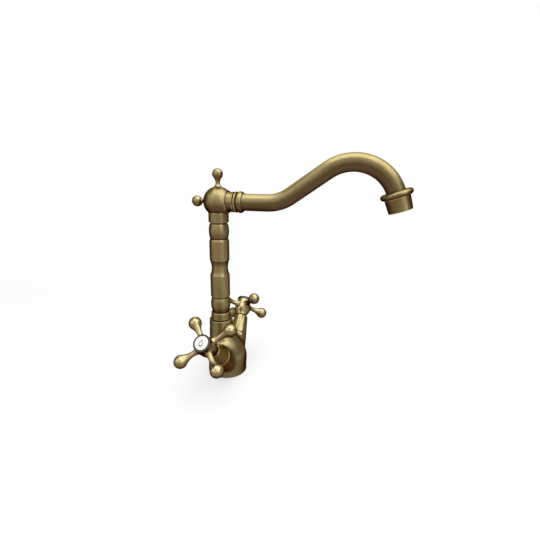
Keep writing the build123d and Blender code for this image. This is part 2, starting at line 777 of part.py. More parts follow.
# Outlet bead with its threaded nipple
bead_circle_r = OUTLET_BEAD_OUTER_R - OUTLET_BEAD_R
with BuildPart() as outlet_bead:
    with BuildSketch(outlet_plane):
        with BuildLine():
            ThreePointArc(
                (-OUTLET_BEAD_R, bead_circle_r),
                (0, OUTLET_BEAD_OUTER_R),
                (OUTLET_BEAD_R, bead_circle_r),
            )
            Polyline(
                (OUTLET_BEAD_R, bead_circle_r),
                (OUTLET_BEAD_R, NIPPLE_R),
                (NIPPLE_END, NIPPLE_R),
                (NIPPLE_END, tube_bore_r),
                (TUBE_TAIL, tube_bore_r),
                (TUBE_TAIL, tube_socket_r),
                (0, tube_socket_r),
                (-OUTLET_BEAD_R, tube_socket_r + BEND_GAP),
                (-OUTLET_BEAD_R, bead_circle_r),
            )
        make_face()
    revolve(axis=outlet_axis)

outlet_bead.part.label = "outlet_bead"
export_step(outlet_bead.part, "parts/outlet_bead.step")


# Aerator shell
with BuildPart() as aerator_shell:
    with BuildSketch(outlet_plane):
        with BuildLine():
            Polyline(
                (OUTLET_BEAD_R, shell_bore_r),
                (OUTLET_BEAD_R, AERATOR_TOP_R),
                (AERATOR_END - AERATOR_EDGE, AERATOR_MOUTH_R),
                (AERATOR_END, AERATOR_MOUTH_R - AERATOR_EDGE),
                (AERATOR_END, AERATOR_LIP_R),
                (lip_at, AERATOR_LIP_R),
                (lip_at, shell_bore_r),
                (OUTLET_BEAD_R, shell_bore_r),
            )
        make_face()
    revolve(axis=outlet_axis)

aerator_shell.part.label = "aerator_shell"
export_step(aerator_shell.part, "parts/aerator_shell.step")


# Rubber washer between nipple and insert
with BuildPart() as aerator_washer:
    with BuildSketch(flow_plane.offset(NIPPLE_END)):
        Circle(insert_r)
        Circle(tube_bore_r, mode=Mode.SUBTRACT)
    extrude(amount=AERATOR_WASHER_H)

aerator_washer.part.label = "aerator_washer"
export_step(aerator_washer.part, "parts/aerator_washer.step")


# Plastic flow insert with rings of holes
with BuildPart() as aerator_insert:
    with BuildSketch(flow_plane.offset(insert_at)):
        Circle(insert_r)
        for ring_r, count in INSERT_RINGS.items():
            with PolarLocations(ring_r, count):
                Circle(INSERT_HOLE_R, mode=Mode.SUBTRACT)
    extrude(amount=screen_at - insert_at)

aerator_insert.part.label = "aerator_insert"
export_step(aerator_insert.part, "parts/aerator_insert.step")


# Wire screen on the lip at the mouth
screen_bars = int(2 * (insert_r - SCREEN_RIM) / SCREEN_PITCH)
with BuildPart() as aerator_screen:
    with BuildSketch(flow_plane.offset(screen_at)):
        Circle(insert_r)
        Circle(insert_r - SCREEN_RIM, mode=Mode.SUBTRACT)
        with GridLocations(0, SCREEN_PITCH, 1, screen_bars):
            Rectangle(2 * insert_r, SCREEN_WIRE)
        with GridLocations(SCREEN_PITCH, 0, screen_bars, 1):
            Rectangle(SCREEN_WIRE, 2 * insert_r)
        Circle(insert_r, mode=Mode.INTERSECT)
    extrude(amount=SCREEN_H)

aerator_screen.part.label = "aerator_screen"
export_step(aerator_screen.part, "parts/aerator_screen.step")


# Valves. Each piece below is made once for the hot side and once for the cold side.
hub_foot = HUB_AXIS_AT + HUB_SKIRT_FOOT
spline_foot = hub_foot + HUB_HOLLOW_H - FACE_GAP
web_top = HUB_AXIS_AT + HUB_WEB_TOP
hub_top = HUB_AXIS_AT + HUB_TOP
window_at = (disc_top + thread_foot) / 2
seal_top = guide_top - SEAL_BELOW_GUIDE
clip_foot = guide_top + CLIP_LIFT
index_foot = hub_top + RIM_H - INDEX_H


def star_outline(radius):
    """Toothed outline of the spindle's splined end."""
    step = pi / SPLINE_TEETH
    points = []
    for i in range(2 * SPLINE_TEETH):
        reach = radius - SPLINE_DEPTH * (i % 2)
        points.append((reach * cos(i * step), reach * sin(i * step)))
    with BuildSketch() as star:
        with BuildLine():
            Polyline(*points, close=True)
        make_face()
    return star.sketch


def make_bonnet(side, plane):
    roof = bonnet_top - 2 * BONNET_WALL
    with BuildPart() as bonnet:
        with BuildSketch(upright(plane)):
            with BuildLine():
                Polyline(
                    (BONNET_FOOT_R - BONNET_WALL, BRANCH_FACE),
                    (BONNET_FOOT_R - BONNET_FOOT_EDGE, BRANCH_FACE),
                    (BONNET_FOOT_R, BRANCH_FACE + BONNET_FOOT_EDGE),
                    (BONNET_TOP_R, bonnet_top - BONNET_TOP_EDGE),
                    (BONNET_TOP_R - BONNET_TOP_EDGE, bonnet_top),
                    (GUIDE_R + FIT_GAP, bonnet_top),
                    (GUIDE_R + FIT_GAP, roof),
                    (BONNET_TOP_R - BONNET_WALL, roof),
                    close=True,
                )
            make_face()
        revolve(axis=valve_axis(plane))

    bonnet.part.label = f"{side}_bonnet"
    export_step(bonnet.part, f"parts/{side}_bonnet.step")


def make_cartridge(side, plane):
    with BuildPart() as cartridge:
        with BuildSketch(plane.offset(thread_foot)):
            Circle(THREAD_R)
        extrude(amount=THREAD_LENGTH)
        with BuildSketch(plane.offset(BRANCH_FACE)):
            RegularPolygon(FLANGE_FLATS / 2, 6, major_radius=False)
        extrude(amount=FLANGE_H)
        with BuildSketch(plane.offset(BRANCH_FACE)):
            Circle(GUIDE_R)
        extrude(amount=guide_top - BRANCH_FACE)
        with BuildSketch(plane.offset(guide_top)):
            Circle(spindle_bore_r)
        extrude(amount=thread_foot - guide_top, mode=Mode.SUBTRACT)
        with BuildSketch(plane.offset(thread_foot)):
            Circle(HOUSING_R)
            Circle(HOUSING_R - HOUSING_WALL, mode=Mode.SUBTRACT)
        extrude(amount=fixed_disc_foot - thread_foot)
        for i in range(WINDOW_COUNT):
            turn = 2 * pi * i / WINDOW_COUNT
            outwards = plane.x_dir * cos(turn) + plane.y_dir * sin(turn)
            with BuildSketch(Plane(origin=valve_point(side, window_at), z_dir=outwards)):
                Circle(WINDOW_R)
            extrude(amount=HOUSING_R, mode=Mode.SUBTRACT)

    cartridge.part.label = f"{side}_cartridge"
    export_step(cartridge.part, f"parts/{side}_cartridge.step")


def make_seat_washer(side, plane):
    with BuildPart() as seat_washer:
        with BuildSketch(plane.offset(seat_foot)):
            Circle(chamber_r - FIT_GAP)
            Circle(SEAT_BORE_R, mode=Mode.SUBTRACT)
        extrude(amount=SEAT_H)

    seat_washer.part.label = f"{side}_seat_washer"
    export_step(seat_washer.part, f"parts/{side}_seat_washer.step")


def make_fixed_disc(side, plane):
    with BuildPart() as fixed_disc:
        with BuildSketch(plane.offset(fixed_disc_foot)):
            Circle(disc_r)
            with Locations((PORT_OFFSET, 0), (-PORT_OFFSET, 0)):
                Circle(PORT_R, mode=Mode.SUBTRACT)
        extrude(amount=DISC_H)

    fixed_disc.part.label = f"{side}_fixed_disc"
    export_step(fixed_disc.part, f"parts/{side}_fixed_disc.step")


def make_moving_disc(side, plane):
    with BuildPart() as moving_disc:
        with BuildSketch(plane.offset(fixed_disc_foot + DISC_H)):
            Circle(disc_r)
            with Locations((0, PORT_OFFSET), (0, -PORT_OFFSET)):
                Circle(PORT_R, mode=Mode.SUBTRACT)
        extrude(amount=DISC_H)
        with BuildSketch(plane.offset(disc_top)):
            Rectangle(2 * disc_r, DRIVE_KEY_W)
        extrude(amount=-DRIVE_KEY_H, mode=Mode.SUBTRACT)

    moving_disc.part.label = f"{side}_moving_disc"
    export_step(moving_disc.part, f"parts/{side}_moving_disc.step")


def make_spindle(side, plane):
    with BuildPart() as spindle:
        # Drive key in the slot of the moving disc, and the foot bar over it
        with BuildSketch(plane.offset(disc_top)):
            Rectangle(2 * SPINDLE_FOOT_R, DRIVE_KEY_W - 2 * FIT_GAP)
        extrude(amount=FIT_GAP - DRIVE_KEY_H)
        with BuildSketch(plane.offset(disc_top)):
            Rectangle(2 * SPINDLE_FOOT_R, 2 * (PORT_OFFSET - PORT_R))
        extrude(amount=thread_foot - FIT_GAP - disc_top)
        with BuildSketch(plane.offset(thread_foot - FIT_GAP)):
            Circle(SPINDLE_R)
        extrude(amount=spline_foot - thread_foot + FIT_GAP)
        with BuildSketch(plane.offset(spline_foot)):
            add(star_outline(SPINDLE_R))
        extrude(amount=spindle_top - spline_foot)
        # Grooves of the seal ring and of the clip
        for groove_top, width, depth in (
            (seal_top, SEAL_GROOVE_W, SEAL_GROOVE_DEPTH),
            (clip_foot + CLIP_T, CLIP_T, CLIP_T),
        ):
            with BuildSketch(plane.offset(groove_top)):
                Circle(2 * SPINDLE_R)
                Circle(SPINDLE_R - depth, mode=Mode.SUBTRACT)
            extrude(amount=-width, mode=Mode.SUBTRACT)
        # Tapped hole of the handle screw
        with BuildSketch(plane.offset(spindle_top)):
            Circle(SCREW_R + FIT_GAP)
        extrude(amount=web_top - spindle_top - SCREW_LENGTH - FACE_GAP, mode=Mode.SUBTRACT)

    spindle.part.label = f"{side}_spindle"
    export_step(spindle.part, f"parts/{side}_spindle.step")


def make_spindle_seal(side, plane):
    inner_r = SPINDLE_R - SEAL_GROOVE_DEPTH + FIT_GAP
    outer_r = spindle_bore_r - SEAL_GAP
    with BuildPart() as spindle_seal:
        with BuildSketch(upright(plane)):
            with Locations(((inner_r + outer_r) / 2, seal_top - SEAL_GROOVE_W / 2)):
                RectangleRounded(outer_r - inner_r, SEAL_GROOVE_W - 2 * FIT_GAP, SEAL_GROOVE_DEPTH / 3)
        revolve(axis=valve_axis(plane))

    spindle_seal.part.label = f"{side}_spindle_seal"
    export_step(spindle_seal.part, f"parts/{side}_spindle_seal.step")


def make_spindle_clip(side, plane):
    with BuildPart() as spindle_clip:
        with BuildSketch(plane.offset(clip_foot + FIT_GAP)):
            Circle(CLIP_R)
            Circle(SPINDLE_R - CLIP_T + FIT_GAP, mode=Mode.SUBTRACT)
            with Locations((CLIP_R, 0)):
                Rectangle(2 * CLIP_R, SPINDLE_R, mode=Mode.SUBTRACT)
        extrude(amount=CLIP_T - 2 * FIT_GAP)

    spindle_clip.part.label = f"{side}_spindle_clip"
    export_step(spindle_clip.part, f"parts/{side}_spindle_clip.step")


def make_handle(side, plane):
    hub_centre = valve_point(side, HUB_AXIS_AT)
    arm_outline = ball_on_neck(
        ARM_BALL_R, ARM_LENGTH, ARM_SWELL, ARM_NECK_R, ARM_NECK_AT, ARM_ROOT_R, ARM_ROOT_AT
    )
    with BuildPart() as handle:
        # Turned hub with its skirt
        with BuildSketch(upright(plane)):
            with BuildLine():
                skirt_top = hub_foot + HUB_SKIRT_H
                shoulder = HUB_AXIS_AT + HUB_SHOULDER
                Polyline(
                    (0, hub_foot),
                    (HUB_SKIRT_R, hub_foot),
                    (HUB_SKIRT_R, skirt_top),
                )
                Spline(
                    (HUB_SKIRT_R, skirt_top),
                    (HUB_R, HUB_AXIS_AT),
                    tangents=((0, 1), (0, 1)),
                )
                Line((HUB_R, HUB_AXIS_AT), (HUB_R, shoulder))
                Spline(
                    (HUB_R, shoulder),
                    (HUB_TOP_R, hub_top),
                    tangents=((0, 1), (-1, 4)),
                )
                Polyline((HUB_TOP_R, hub_top), (0, hub_top), (0, hub_foot))
            make_face()
        revolve(axis=valve_axis(plane))
        # Four arms with their balls
        for i in range(ARM_COUNT):
            turn = radians(HANDLE_TURNS[side] + 360 * i / ARM_COUNT)
            outwards = plane.x_dir * cos(turn) + plane.y_dir * sin(turn)
            with BuildSketch(Plane(origin=hub_centre, x_dir=outwards, z_dir=plane.z_dir)):
                add(arm_outline)
            revolve(axis=Axis(hub_centre, outwards))
        # Hollow of the skirt, splined bore, screw hole and the recesses above it
        with BuildSketch(plane.offset(hub_foot)):
            Circle(HUB_HOLLOW_R)
        extrude(amount=HUB_HOLLOW_H, mode=Mode.SUBTRACT)
        with BuildSketch(plane.offset(hub_foot)):
            add(star_outline(SPINDLE_R + FIT_GAP))
        extrude(amount=spindle_top - hub_foot, mode=Mode.SUBTRACT)
        for foot, radius in (
            (spindle_top, SCREW_R + FACE_GAP),
            (web_top, HUB_RECESS_R),
            (hub_top - RIM_BOSS_H - FACE_GAP, RIM_BOSS_R + FIT_GAP),
        ):
            with BuildSketch(plane.offset(foot)):
                Circle(radius)
            extrude(amount=hub_top - foot, mode=Mode.SUBTRACT)

    handle.part.label = f"{side}_handle"
    export_step(handle.part, f"parts/{side}_handle.step")


def make_handle_screw(side, plane):
    with BuildPart() as handle_screw:
        with BuildSketch(plane.offset(web_top)):
            Circle(SCREW_HEAD_R)
        extrude(amount=SCREW_HEAD_H)
        with BuildSketch(plane.offset(web_top)):
            Circle(SCREW_R)
        extrude(amount=-SCREW_LENGTH)
        with BuildSketch(plane.offset(web_top + SCREW_HEAD_H)):
            RegularPolygon(SCREW_SOCKET_FLATS / 2, 6, major_radius=False)
        extrude(amount=-SCREW_SOCKET_DEPTH, mode=Mode.SUBTRACT)

    handle_screw.part.label = f"{side}_handle_screw"
    export_step(handle_screw.part, f"parts/{side}_handle_screw.step")


def make_index_rim(side, plane):
    cup_r = INDEX_R + FIT_GAP
    with BuildPart() as index_rim:
        with BuildSketch(upright(plane)):
            with BuildLine():
                Polyline(
                    (0, hub_top - RIM_BOSS_H),
                    (RIM_BOSS_R, hub_top - RIM_BOSS_H),
                    (RIM_BOSS_R, hub_top),
                    (RIM_R - RIM_EDGE, hub_top),
                    (RIM_R, hub_top + RIM_EDGE),
                    (RIM_R, hub_top + RIM_H - RIM_EDGE),
                    (RIM_R - RIM_EDGE, hub_top + RIM_H),
                    (cup_r, hub_top + RIM_H),
                    (cup_r, index_foot),
                    (0, index_foot),
                    close=True,
                )
            make_face()
        revolve(axis=valve_axis(plane))

    index_rim.part.label = f"{side}_index_rim"
    export_step(index_rim.part, f"parts/{side}_index_rim.step")


def make_index_disc(side, plane):
    with BuildPart() as index_disc:
        with BuildSketch(upright(plane)):
            with BuildLine():
                Polyline(
                    (0, index_foot + INDEX_H + INDEX_DOME),
                    (0, index_foot),
                    (INDEX_R, index_foot),
                    (INDEX_R, index_foot + INDEX_H),
                )
                Spline(
                    (INDEX_R, index_foot + INDEX_H),
                    (0, index_foot + INDEX_H + INDEX_DOME),
                    tangents=((-1, 1), (-1, 0)),
                )
            make_face()
        revolve(axis=valve_axis(plane))

    index_disc.part.label = f"{side}_index_disc"
    export_step(index_disc.part, f"parts/{side}_index_disc.step")


VALVE_PIECES = (
    make_bonnet,
    make_cartridge,
    make_seat_washer,
    make_fixed_disc,
    make_moving_disc,
    make_spindle,
    make_spindle_seal,
    make_spindle_clip,
    make_handle,
    make_handle_screw,
    make_index_rim,
    make_index_disc,
)
for side, plane in VALVES.items():
    for make_piece in VALVE_PIECES:
        make_piece(side, plane)
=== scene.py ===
import json
from math import atan2, ceil, cos, pi, radians, sin, sqrt, tan

import bmesh
import bpy
from mathutils import Matrix, Vector


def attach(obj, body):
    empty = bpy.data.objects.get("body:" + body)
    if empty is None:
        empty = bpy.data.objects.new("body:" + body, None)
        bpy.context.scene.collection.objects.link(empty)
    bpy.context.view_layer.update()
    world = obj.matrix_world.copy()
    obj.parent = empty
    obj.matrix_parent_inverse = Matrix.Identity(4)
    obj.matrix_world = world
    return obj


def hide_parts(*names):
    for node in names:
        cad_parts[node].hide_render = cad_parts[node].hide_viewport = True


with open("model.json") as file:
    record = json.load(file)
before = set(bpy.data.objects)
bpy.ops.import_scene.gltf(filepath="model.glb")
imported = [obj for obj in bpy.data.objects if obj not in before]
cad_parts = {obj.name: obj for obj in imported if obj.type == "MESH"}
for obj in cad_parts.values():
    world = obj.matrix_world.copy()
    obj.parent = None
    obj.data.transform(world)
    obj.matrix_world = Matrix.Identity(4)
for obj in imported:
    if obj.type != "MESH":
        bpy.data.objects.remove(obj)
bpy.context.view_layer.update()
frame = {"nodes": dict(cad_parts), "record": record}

# Kitchen mixer tap in brushed antique brass: the visible pieces are made again here, finer than the frame's.
# Lengths of the pieces are in millimetres and become metres where a mesh is made.
MM = 0.001

# Brush map of the pieces: width of one full turn, and the step where a closed outline ends, in metres
TURN_WIDTH = 0.07
STEP_BACK = 0.002

# Relief of the turned pieces: rings lie this close, and edges and grooves are found within this reach
RING_SPACING = 1.2
RELIEF_REACH = 1.5
RELIEF_DEPTH = 0.2

# Places shared by the pieces
COLUMN_X = -8.0
COLUMN_TOP = 206.92
HEAD_Z = 219.7
VALVE_TILT = 42.5
VALVE_SWEEP = 5.0
VALVE_FOOT = Vector((5.6, 0.0, 6.0))
BRANCH_FACE = 43.5
HUB_PLANE = 87.8
SIDES = {"hot": -1, "cold": 1}
HANDLE_TURNS = {"hot": 43.4, "cold": 38.5}

# Spout path, lengths from the column axis and bend radii
TUBE_R = 9.75
TUBE_BORE_R = 8.35
TUBE_START = 10.6
TUBE_LEVEL_END = 60.2
RISE_BEND_R = 46.0
RISE_ANGLE = 35.0
RISE_LENGTH = 48.0
ARCH_BEND_R = 47.3
ARCH_ANGLE = 106.0
TUBE_TAIL = 3.0


# Outlines of turned pieces
def bow(start, middle, end, count=14):
    """Points of the circular arc through three points, without its two ends."""
    (ax, ay), (bx, by), (cx, cy) = start, middle, end
    d = 2 * (ax * (by - cy) + bx * (cy - ay) + cx * (ay - by))
    a2, b2, c2 = ax * ax + ay * ay, bx * bx + by * by, cx * cx + cy * cy
    ux = (a2 * (by - cy) + b2 * (cy - ay) + c2 * (ay - by)) / d
    uy = (a2 * (cx - bx) + b2 * (ax - cx) + c2 * (bx - ax)) / d
    first = atan2(ay - uy, ax - ux)
    half = (atan2(by - uy, bx - ux) - first + pi) % (2 * pi) - pi
    turn = (atan2(cy - uy, cx - ux) - first + pi) % (2 * pi) - pi
    if half * turn < 0:
        turn -= 2 * pi * (1 if turn > 0 else -1)
    radius = sqrt((ax - ux) ** 2 + (ay - uy) ** 2)
    angles = [first + turn * i / (count + 1) for i in range(1, count + 1)]
    return [(ux + radius * cos(t), uy + radius * sin(t)) for t in angles]


def arc_points(along, radius, size, first, last, count):
    """Points of an arc about a centre, without its two ends; angles are from the along direction."""
    turns = [first + (last - first) * i / (count + 1) for i in range(1, count + 1)]
    return [(along + size * cos(t), radius + size * sin(t)) for t in turns]


def flow(start, start_way, end, end_way, count=12):
    """Points of a smooth curve between two points with given directions, without its two ends."""
    reach = sqrt((end[0] - start[0]) ** 2 + (end[1] - start[1]) ** 2)
    points = []
    for i in range(1, count + 1):
        t = i / (count + 1)
        h00, h10 = 2 * t**3 - 3 * t**2 + 1, t**3 - 2 * t**2 + t
        h01, h11 = 3 * t**2 - 2 * t**3, t**3 - t**2
        points.append(
            tuple(
                h00 * start[k] + h10 * reach * start_way[k] + h01 * end[k] + h11 * reach * end_way[k]
                for k in (0, 1)
            )
        )
    return points


def eased(points, closed=True, segments=4):
    """Outline with its corners rounded.

    A corner is (along, radius, rounding); other points have two numbers.
    """
    result = []
    total = len(points)
    for i, point in enumerate(points):
        at_end = not closed and i in (0, total - 1)
        if len(point) == 2 or at_end:
            result.append(Vector(point[:2]))
            continue
        here = Vector(point[:2])
        before = here - Vector(points[i - 1][:2])
        after = Vector(points[(i + 1) % total][:2]) - here
        turn = before.angle_signed(after)
        if abs(turn) < 0.02:
            result.append(here)
            continue
        reach = min(point[2] * tan(abs(turn) / 2), 0.45 * before.length, 0.45 * after.length)
        start, end = here - before.normalized() * reach, here + after.normalized() * reach
        radius = reach / tan(abs(turn) / 2)
        inward = (after.normalized() - before.normalized()).normalized()
        centre = here + inward * (radius / cos(turn / 2))
        first = start - centre
        for k in range(segments + 1):
            angle = -turn * k / segments
            result.append(centre + Matrix.Rotation(angle, 2) @ first)
    return result


def closer(points, spacing, closed):
    """Outline with more points on its long straight runs."""
    result = []
    following = points[1:] + (points[:1] if closed else [])
    for here, after in zip(points, following):
        count = max(1, ceil((after - here).length / spacing))
        result += [here.lerp(after, i / count) for i in range(count)]
    return result if closed else result + [points[-1]]


def relief_of(points, marks):
    """How far each point of an outline stands proud of the radius around it: an edge 1, a groove -1."""
    total = len(points)
    share = [(marks[min(i + 1, total - 1)] - marks[max(i - 1, 0)]) / 2 for i in range(total)]
    values = []
    for i, point in enumerate(points):
        weight = mean = 0.0
        for j, other in enumerate(points):
            near = 1 - abs(marks[i] - marks[j]) / (RELIEF_REACH * MM)
            if near > 0:
                weight += near * share[j]
                mean += near * share[j] * other[1]
        offset = (point[1] - mean / weight) / RELIEF_DEPTH if weight else 0.0
        values.append(max(-1.0, min(1.0, offset)))
    return values


def frame_of(axis, level=None):
    """Axis with two directions across it, as unit vectors."""
    axis = Vector(axis).normalized()
    level = Vector(level) if level else (Vector((0, 0, 1)) if abs(axis.z) < 0.9 else Vector((1, 0, 0)))
    across = (level - axis * level.dot(axis)).normalized()
    return axis, across, axis.cross(across)


def mesh_object(name, build):
    """Object whose mesh is filled in by build(bmesh)."""
    mesh = bpy.data.meshes.new(name)
    bm = bmesh.new()
    bm.loops.layers.uv.new("brush")
    bm.verts.layers.float.new("relief")
    build(bm)
    bmesh.ops.recalc_face_normals(bm, faces=bm.faces)
    bm.to_mesh(mesh)
    bm.free()
    for polygon in mesh.polygons:
        polygon.use_smooth = True
    piece = bpy.data.objects.new(name, mesh)
    bpy.context.scene.collection.objects.link(piece)
    return piece


def skin(bm, rings, marks, steps, closed=False):
    """Adds faces between rings of vertices; the brush map holds the distance along the piece and the turn."""
    brush = bm.loops.layers.uv["brush"]
    pairs = [(i, i + 1) for i in range(len(rings) - 1)]
    if closed:
        pairs.append((len(rings) - 1, 0))
    for i, j in pairs:
        low, high = rings[i], rings[j]
        ends = (marks[i], marks[j] if j > i else marks[i] + STEP_BACK)
        if len(low) == 1 and len(high) == 1:
            continue
        for k in range(steps):
            n = (k + 1) % steps
            if len(low) == 1:
                corners = ((low[0], 0, k + 0.5), (high[k], 1, k), (high[n], 1, k + 1))
            elif len(high) == 1:
                corners = ((low[k], 0, k), (high[0], 1, k + 0.5), (low[n], 0, k + 1))
            else:
                corners = ((low[k], 0, k), (high[k], 1, k), (high[n], 1, k + 1), (low[n], 0, k + 1))
            face = bm.faces.new([corner[0] for corner in corners])
            for loop, (_, end, turn) in zip(face.loops, corners):
                loop[brush].uv = (ends[end], turn / steps * TURN_WIDTH)


def spin(bm, outline, origin, axis, steps, closed):
    """Adds the surface that an outline of (along, radius) sweeps round an axis."""
    along, across, side = frame_of(axis)
    origin = Vector(origin)
    rings, marks = [], []
    length = 0.0
    for before, here in zip([outline[0], *outline], outline):
        length += sqrt((here[0] - before[0]) ** 2 + (here[1] - before[1]) ** 2) * MM
        marks.append(length)
    proud = relief_of(outline, marks)
    relief = bm.verts.layers.float["relief"]
    for (a, r), height in zip(outline, proud):
        middle = origin + along * a
        if r < 1e-6:
            rings.append([bm.verts.new(middle * MM)])
            rings[-1][0][relief] = height
            continue
        ring = []
        for k in range(steps):
            t = 2 * pi * k / steps
            ring.append(bm.verts.new((middle + (across * cos(t) + side * sin(t)) * r) * MM))
            ring[-1][relief] = height
        rings.append(ring)
    skin(bm, rings, marks, steps, closed)


def turned(name, outline, origin, axis, steps=128, closed=True):
    """Turned piece with crisp flats and small rounded edges."""
    points = closer(eased(outline, closed), RING_SPACING, closed)
    piece = mesh_object(name, lambda bm: spin(bm, points, origin, axis, steps, closed))
    weighted = piece.modifiers.new("even_flats", "WEIGHTED_NORMAL")
    weighted.keep_sharp = True
    return piece


def finish_piece(piece, body, material, slot, *nodes):
    """Gives a piece its finish, its body and the nodes that it stands in for, if there are any."""
    piece.data.materials.clear()
    piece.data.materials.append(material)
    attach(piece, body)
    if nodes:
        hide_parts(*nodes)


# Node helpers
def node(tree, kind, **settings):
    made = tree.nodes.new(kind)
    for key, value in settings.items():
        setattr(made, key, value)
    return made


def link(tree, source, target):
    tree.links.new(source, target)


def sum_of(tree, operation, first, second=None, third=None, clamp=False):
    """Math node; each input is a socket or a number."""
    made = node(tree, "ShaderNodeMath", operation=operation, use_clamp=clamp)
    for socket, value in zip(made.inputs, (first, second, third)):
        if value is None:
            continue
        if isinstance(value, (int, float)):
            socket.default_value = value
        else:
            link(tree, value, socket)
    return made.outputs[0]


def blend_colour(tree, amount, first, second, how="MIX"):
    made = node(tree, "ShaderNodeMix", data_type="RGBA", blend_type=how, clamp_factor=True)
    for socket, value in ((made.inputs[0], amount), (made.inputs[6], first), (made.inputs[7], second)):
        if isinstance(value, (int, float)):
            socket.default_value = value
        elif isinstance(value, tuple):
            socket.default_value = (*value, 1.0)
        else:
            link(tree, value, socket)
    return made.outputs[2]


def new_group(name, inputs, outputs):
    """Empty shader node group with named sockets; inputs are (name, kind, value)."""
    group = bpy.data.node_groups.new(name, "ShaderNodeTree")
    for label, kind, value in inputs:
        socket = group.interface.new_socket(label, in_out="INPUT", socket_type=kind)
        socket.default_value = value
    for label, kind in outputs:
        group.interface.new_socket(label, in_out="OUTPUT", socket_type=kind)
    entry = group.nodes.new("NodeGroupInput")
    leave = group.nodes.new("NodeGroupOutput")
    return group, entry, leave


def step_of(tree, value, start, full):
    """Smooth step from 0 at start to 1 at full."""
    made = node(tree, "ShaderNodeMapRange", interpolation_type="SMOOTHSTEP")
    for label, edge in (("From Min", start), ("From Max", full)):
        if isinstance(edge, (int, float)):
            made.inputs[label].default_value = edge
        else:
            link(tree, edge, made.inputs[label])
    link(tree, value, made.inputs["Value"])
    return made.outputs[0]


def noise_level(tree, place, scale, detail, low, high):
    """Noise spread over 0 to 1."""
    noise = node(tree, "ShaderNodeTexNoise", noise_dimensions="3D")
    noise.inputs["Detail"].default_value = detail
    link(tree, place, noise.inputs["Vector"])
    if isinstance(scale, (int, float)):
        noise.inputs["Scale"].default_value = scale
    else:
        link(tree, scale, noise.inputs["Scale"])
    return step_of(tree, noise.outputs["Fac"], low, high)


def shaded(tree, colour, level):
    """Colour multiplied by a level."""
    grey = node(tree, "ShaderNodeCombineColor")
    for socket in grey.inputs[:3]:
        link(tree, level, socket)
    return blend_colour(tree, 1.0, colour, grey.outputs[0], "MULTIPLY")


def patina_with_painted_light_group():
    """Patina in clouds under the lacquer, with painted light: tops painted lighter as if lit, undersides
    painted darker and reddish as shade with a painted warm reflection.
    """
    group, entry, leave = new_group(
        "patina_with_painted_light",
        [
            ("Cloud size", "NodeSocketFloat", 60.0),
            ("Clouds", "NodeSocketFloat", 0.25),
            ("Speck size", "NodeSocketFloat", 900.0),
            ("Top", "NodeSocketColor", (0.4, 0.3, 0.15, 1)),
            ("Side", "NodeSocketColor", (0.2, 0.15, 0.07, 1)),
            ("Shaded underside", "NodeSocketColor", (0.1, 0.06, 0.03, 1)),
            ("Red", "NodeSocketColor", (0.25, 0.13, 0.06, 1)),
        ],
        [("Color", "NodeSocketColor"), ("Cloud", "NodeSocketFloat")],
    )
    place = node(group, "ShaderNodeTexCoord")
    facing = node(group, "ShaderNodeSeparateXYZ")
    link(group, place.outputs["Normal"], facing.inputs[0])
    cloud = noise_level(group, place.outputs["Object"], entry.outputs["Cloud size"], 3.0, 0.36, 0.66)
    # Painted light: faces turned up take the lit top colour, and faces turned down take the shaded underside
    # colour.
    top = step_of(group, facing.outputs["Z"], 0.05, 0.75)
    under = step_of(group, facing.outputs["Z"], 0.06, -0.42)
    body = blend_colour(group, top, entry.outputs["Side"], entry.outputs["Top"])
    dim = sum_of(group, "MULTIPLY", cloud, entry.outputs["Clouds"])
    dim = sum_of(group, "MULTIPLY", dim, sum_of(group, "MULTIPLY_ADD", top, -0.5, 1.0))
    body = blend_colour(group, sum_of(group, "MAXIMUM", dim, under), body, entry.outputs["Shaded underside"])
    # Painted warm reflection in the painted shade of the undersides, stronger where the clouds are.
    warm_reflection = sum_of(group, "MULTIPLY", under, sum_of(group, "MULTIPLY_ADD", cloud, 0.5, 0.35))
    body = blend_colour(group, warm_reflection, body, entry.outputs["Red"])
    fleck = noise_level(group, place.outputs["Object"], entry.outputs["Speck size"], 2.0, 0.3, 0.7)
    body = shaded(group, body, sum_of(group, "MULTIPLY_ADD", fleck, 0.05, 0.975))
    link(group, body, leave.inputs["Color"])
    link(group, cloud, leave.inputs["Cloud"])
    return group


def brushing_group():
    """Fine lines left by the brushing wheel, across the brush map's first direction."""
    group, entry, leave = new_group(
        "brushing",
        [
            ("Along", "NodeSocketFloat", 0.0),
            ("Lines per metre", "NodeSocketFloat", 4000.0),
            ("Breaks per metre", "NodeSocketFloat", 60.0),
        ],
        [("Height", "NodeSocketFloat"), ("Dull", "NodeSocketFloat"), ("Tone", "NodeSocketFloat")],
    )
    place = node(group, "ShaderNodeTexCoord")
    lines = sum_of(group, "MULTIPLY", entry.outputs["Along"], entry.outputs["Lines per metre"])
    spread = node(group, "ShaderNodeVectorMath", operation="SCALE")
    link(group, place.outputs["Object"], spread.inputs[0])
    link(group, entry.outputs["Breaks per metre"], spread.inputs["Scale"])
    for detail, reach, label, low, high in ((3.0, 1.0, "Height", 0.0, 1.0), (2.0, 0.22, "Tone", -1.0, 1.0)):
        marks = node(group, "ShaderNodeTexNoise", noise_dimensions="4D")
        marks.inputs["Scale"].default_value = 1.0
        marks.inputs["Detail"].default_value = detail
        marks.inputs["Roughness"].default_value = 0.7
        link(group, spread.outputs[0], marks.inputs["Vector"])
        link(group, sum_of(group, "MULTIPLY", lines, reach), marks.inputs["W"])
        level = node(group, "ShaderNodeMapRange")
        level.inputs["From Min"].default_value = 0.3
        level.inputs["From Max"].default_value = 0.7
        level.inputs["To Min"].default_value = low
        level.inputs["To Max"].default_value = high
        link(group, marks.outputs["Fac"], level.inputs["Value"])
        link(group, level.outputs[0], leave.inputs[label])
        if label == "Height":
            link(group, sum_of(group, "MULTIPLY_ADD", level.outputs[0], 2.0, -1.0), leave.inputs["Dull"])
    return group


